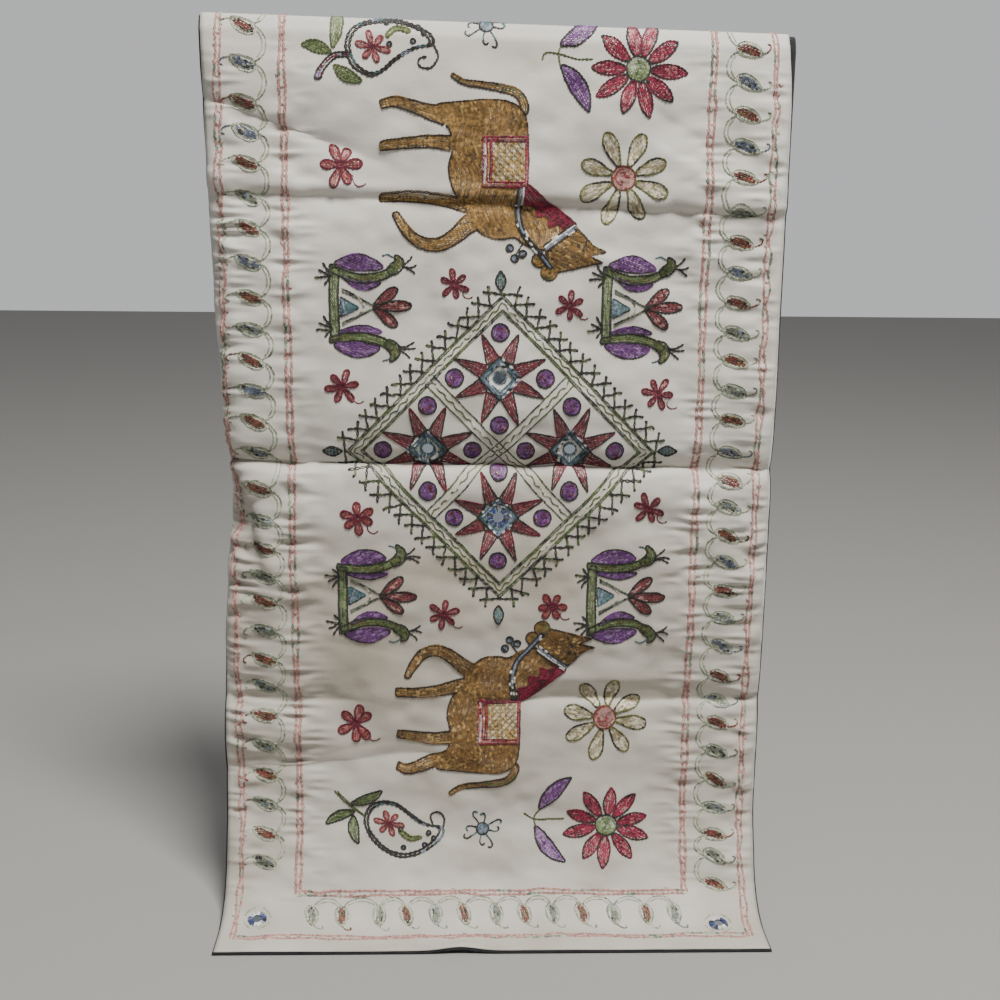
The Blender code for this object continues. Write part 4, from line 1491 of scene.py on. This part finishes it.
# A ring's stitches run from over the glass, across the rim, to the cloth: share of the radius, reach
# past the rim, reach past the rim on the cloth, then the heights of these three places
RING_INNER_SHARE = 0.62
RING_RIM_REACH = 0.35
RING_CLOTH_REACH = 1.8
RING_HEIGHTS = (0.75, 0.60, 0.3)
RING_CREST = 0.45
RING_STRAND_RADIUS = 0.42


def mirror_rings():
    """Thread that reaches from the cloth over the rim of each mirror and holds it."""
    random = np.random.default_rng(16)
    verts, quads, slots = [], [], []
    used = ["teal", "blue", "grey blue", "charcoal", "white"]
    for (name, colour), (u, v) in zip(MIRROR_RINGS, MIRROR_PLACES):
        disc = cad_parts[name]
        corners = np.array([disc.matrix_world @ vert.co for vert in disc.data.vertices])
        centre = corners.mean(0)
        _, normal = on_cloth(np.array((u, v)), 0.0)
        right = unit(np.cross((0.0, 1.0, 0.0), (0.0, 0.0, 1.0)) - normal * normal[0])
        down = np.cross(right, normal)
        down = down if down[2] < 0 or abs(normal[2]) > 0.9 else -down
        radius = np.linalg.norm(corners - centre, axis=1).max()
        turns = np.arange(RING_STITCHES) / RING_STITCHES * 2 * np.pi + random.normal(0, 0.03, RING_STITCHES)
        ahead = np.cos(turns)[:, None] * right + np.sin(turns)[:, None] * down
        flat_ahead = np.stack((np.cos(turns), np.sin(turns)), -1)
        inner = centre + ahead * radius * RING_INNER_SHARE + normal * RING_HEIGHTS[0] * MM
        rim = centre + ahead * (radius + RING_RIM_REACH * MM) + normal * RING_HEIGHTS[1] * MM
        outer_places = np.array((u, v)) + flat_ahead * (radius + RING_CLOTH_REACH * MM)
        outer, outer_normal = on_cloth(outer_places, np.full(RING_STITCHES, RING_HEIGHTS[2] * MM))
        points = np.stack((inner, rim, outer), 1)
        inner_normal = np.repeat(normal[None], RING_STITCHES, 0)
        normals = np.stack((inner_normal, unit(normal + ahead * 0.8), outer_normal), 1)
        crest = np.full((RING_STITCHES, 3), RING_CREST * MM)
        radii = np.full(RING_STITCHES, RING_STRAND_RADIUS * MM)
        part, faces = strand_mesh_arrays(points, normals, radii, crest)
        quads.append(faces + sum(len(made) for made in verts))
        verts.append(part)
        colours = np.full(RING_STITCHES, used.index(colour))
        colours[random.random(RING_STITCHES) < 0.30] = used.index("charcoal")
        colours[random.random(RING_STITCHES) < 0.12] = used.index("grey blue")
        if colour == "blue" and name.startswith("corner"):
            colours[np.cos(2 * turns + 0.9) < -0.15] = used.index("white")
        slots.append(np.repeat(colours, len(faces) // RING_STITCHES))
    obj = new_mesh("mirror_rings", np.concatenate(verts), np.concatenate(quads))
    for name in used:
        obj.data.materials.append(thread_material(name))
    obj.data.polygons.foreach_set("material_index", np.concatenate(slots).astype(np.int32))
    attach(obj, "root")


# Build

cotton = ivory_cotton()
black = black_cotton()
glass = mirror_glass()

face = face_sheet()
face.data.materials.append(cotton)
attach(face, "root")
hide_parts("face_panel")

lining = lining_sheet()
lining.data.materials.append(black)
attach(lining, "root")
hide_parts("lining")

mirrors = [obj for name, obj in sorted(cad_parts.items()) if "mirror" in name]
for obj in mirrors:
    for number in range(len(obj.material_slots)):
        obj.material_slots[number].material = glass

border_frames()
border_leaves()
diamond_field()
star_field()
horses()
large_flowers()
sprigs()
small_flowers()
peacocks()
paisleys()
small_stars()
mirror_rings()

# Floor, light and camera

FLOOR_Z = min(cad_box[0][2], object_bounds()[0][2]) - 0.0003
FLOOR_COLOUR = (0.33, 0.322, 0.305)
# Columns: name, place, place aimed at, size, power, colour
LIGHTS = (
    ("overhead", (0.45, -1.05, 1.80), (0.0, 0.0, -0.25), 0.7, 102.0, (1.0, 0.985, 0.955)),
    ("front fill", (-0.7, -1.9, 0.5), (0.0, 0.0, -0.30), 1.2, 3.0, (0.95, 0.97, 1.0)),
)
FRONT_GLOW = 0.10
REAR_GLOW = 0.60


def stage_floor():
    """The level surface under the foot."""
    bpy.ops.mesh.primitive_plane_add(size=8.0, location=(0.0, 0.5, FLOOR_Z))
    floor = bpy.context.object
    floor.name = "floor"
    floor.data.materials.append(material("floor", FLOOR_COLOUR, 0.9)[0])


def soft_light(name, place, aim, size, power, color):
    """A square area light aimed at a place."""
    data = bpy.data.lights.new(name, "AREA")
    data.shape = "SQUARE"
    data.size = size
    data.energy = power
    data.color = color
    lamp = bpy.data.objects.new(name, data)
    bpy.context.scene.collection.objects.link(lamp)
    lamp.location = place
    lamp.rotation_euler = (Vector(aim) - Vector(place)).to_track_quat("-Z", "Y").to_euler()


def studio_world():
    """Pale surroundings behind the cloth and dimmer ones before it."""
    world = bpy.data.worlds.new("studio")
    world.use_nodes = True
    tree = world.node_tree
    sky = tree.nodes["Background"]
    sky.inputs["Color"].default_value = (0.92, 0.93, 0.95, 1.0)
    place = add_node(tree, "ShaderNodeTexCoord").outputs["Generated"]
    depth = add_node(tree, "ShaderNodeSeparateXYZ", {"Vector": place}).outputs["Y"]
    inputs = {"Value": depth, "From Min": -0.1, "From Max": 0.5, "To Min": FRONT_GLOW, "To Max": REAR_GLOW}
    glow = add_node(tree, "ShaderNodeMapRange", inputs)
    tree.links.new(glow.outputs["Result"], sky.inputs["Strength"])
    bpy.context.scene.world = world


stage_floor()
for light in LIGHTS:
    soft_light(*light)
studio_world()

# The camera looks a little down at the hanging cloth, as in the photo
CAMERA_PLACE = (-0.0276, -0.9891, -0.0949)
CAMERA_YAW, CAMERA_PITCH, CAMERA_ROLL = (math.radians(turn) for turn in (1.8335, 13.311, 0.6385))


def camera_basis(yaw, pitch, roll):
    """Turn of a camera that looks along +Y at rest."""
    ahead = Vector((math.sin(yaw) * math.cos(pitch), math.cos(yaw) * math.cos(pitch), -math.sin(pitch)))
    level = Vector((math.cos(yaw), -math.sin(yaw), 0.0))
    up = level.cross(ahead)
    right = level * math.cos(roll) + up * math.sin(roll)
    up = up * math.cos(roll) - level * math.sin(roll)
    return Matrix((right, up, -ahead)).transposed().to_4x4()


camera_data = bpy.data.cameras.new("camera")
camera_data.sensor_width = 36.0
camera_data.lens = 50.0
camera_data.clip_start = 0.01
camera = bpy.data.objects.new("camera", camera_data)
bpy.context.scene.collection.objects.link(camera)
turn = camera_basis(CAMERA_YAW, CAMERA_PITCH, CAMERA_ROLL)
camera.matrix_world = Matrix.Translation(CAMERA_PLACE) @ turn
bpy.context.scene.camera = camera
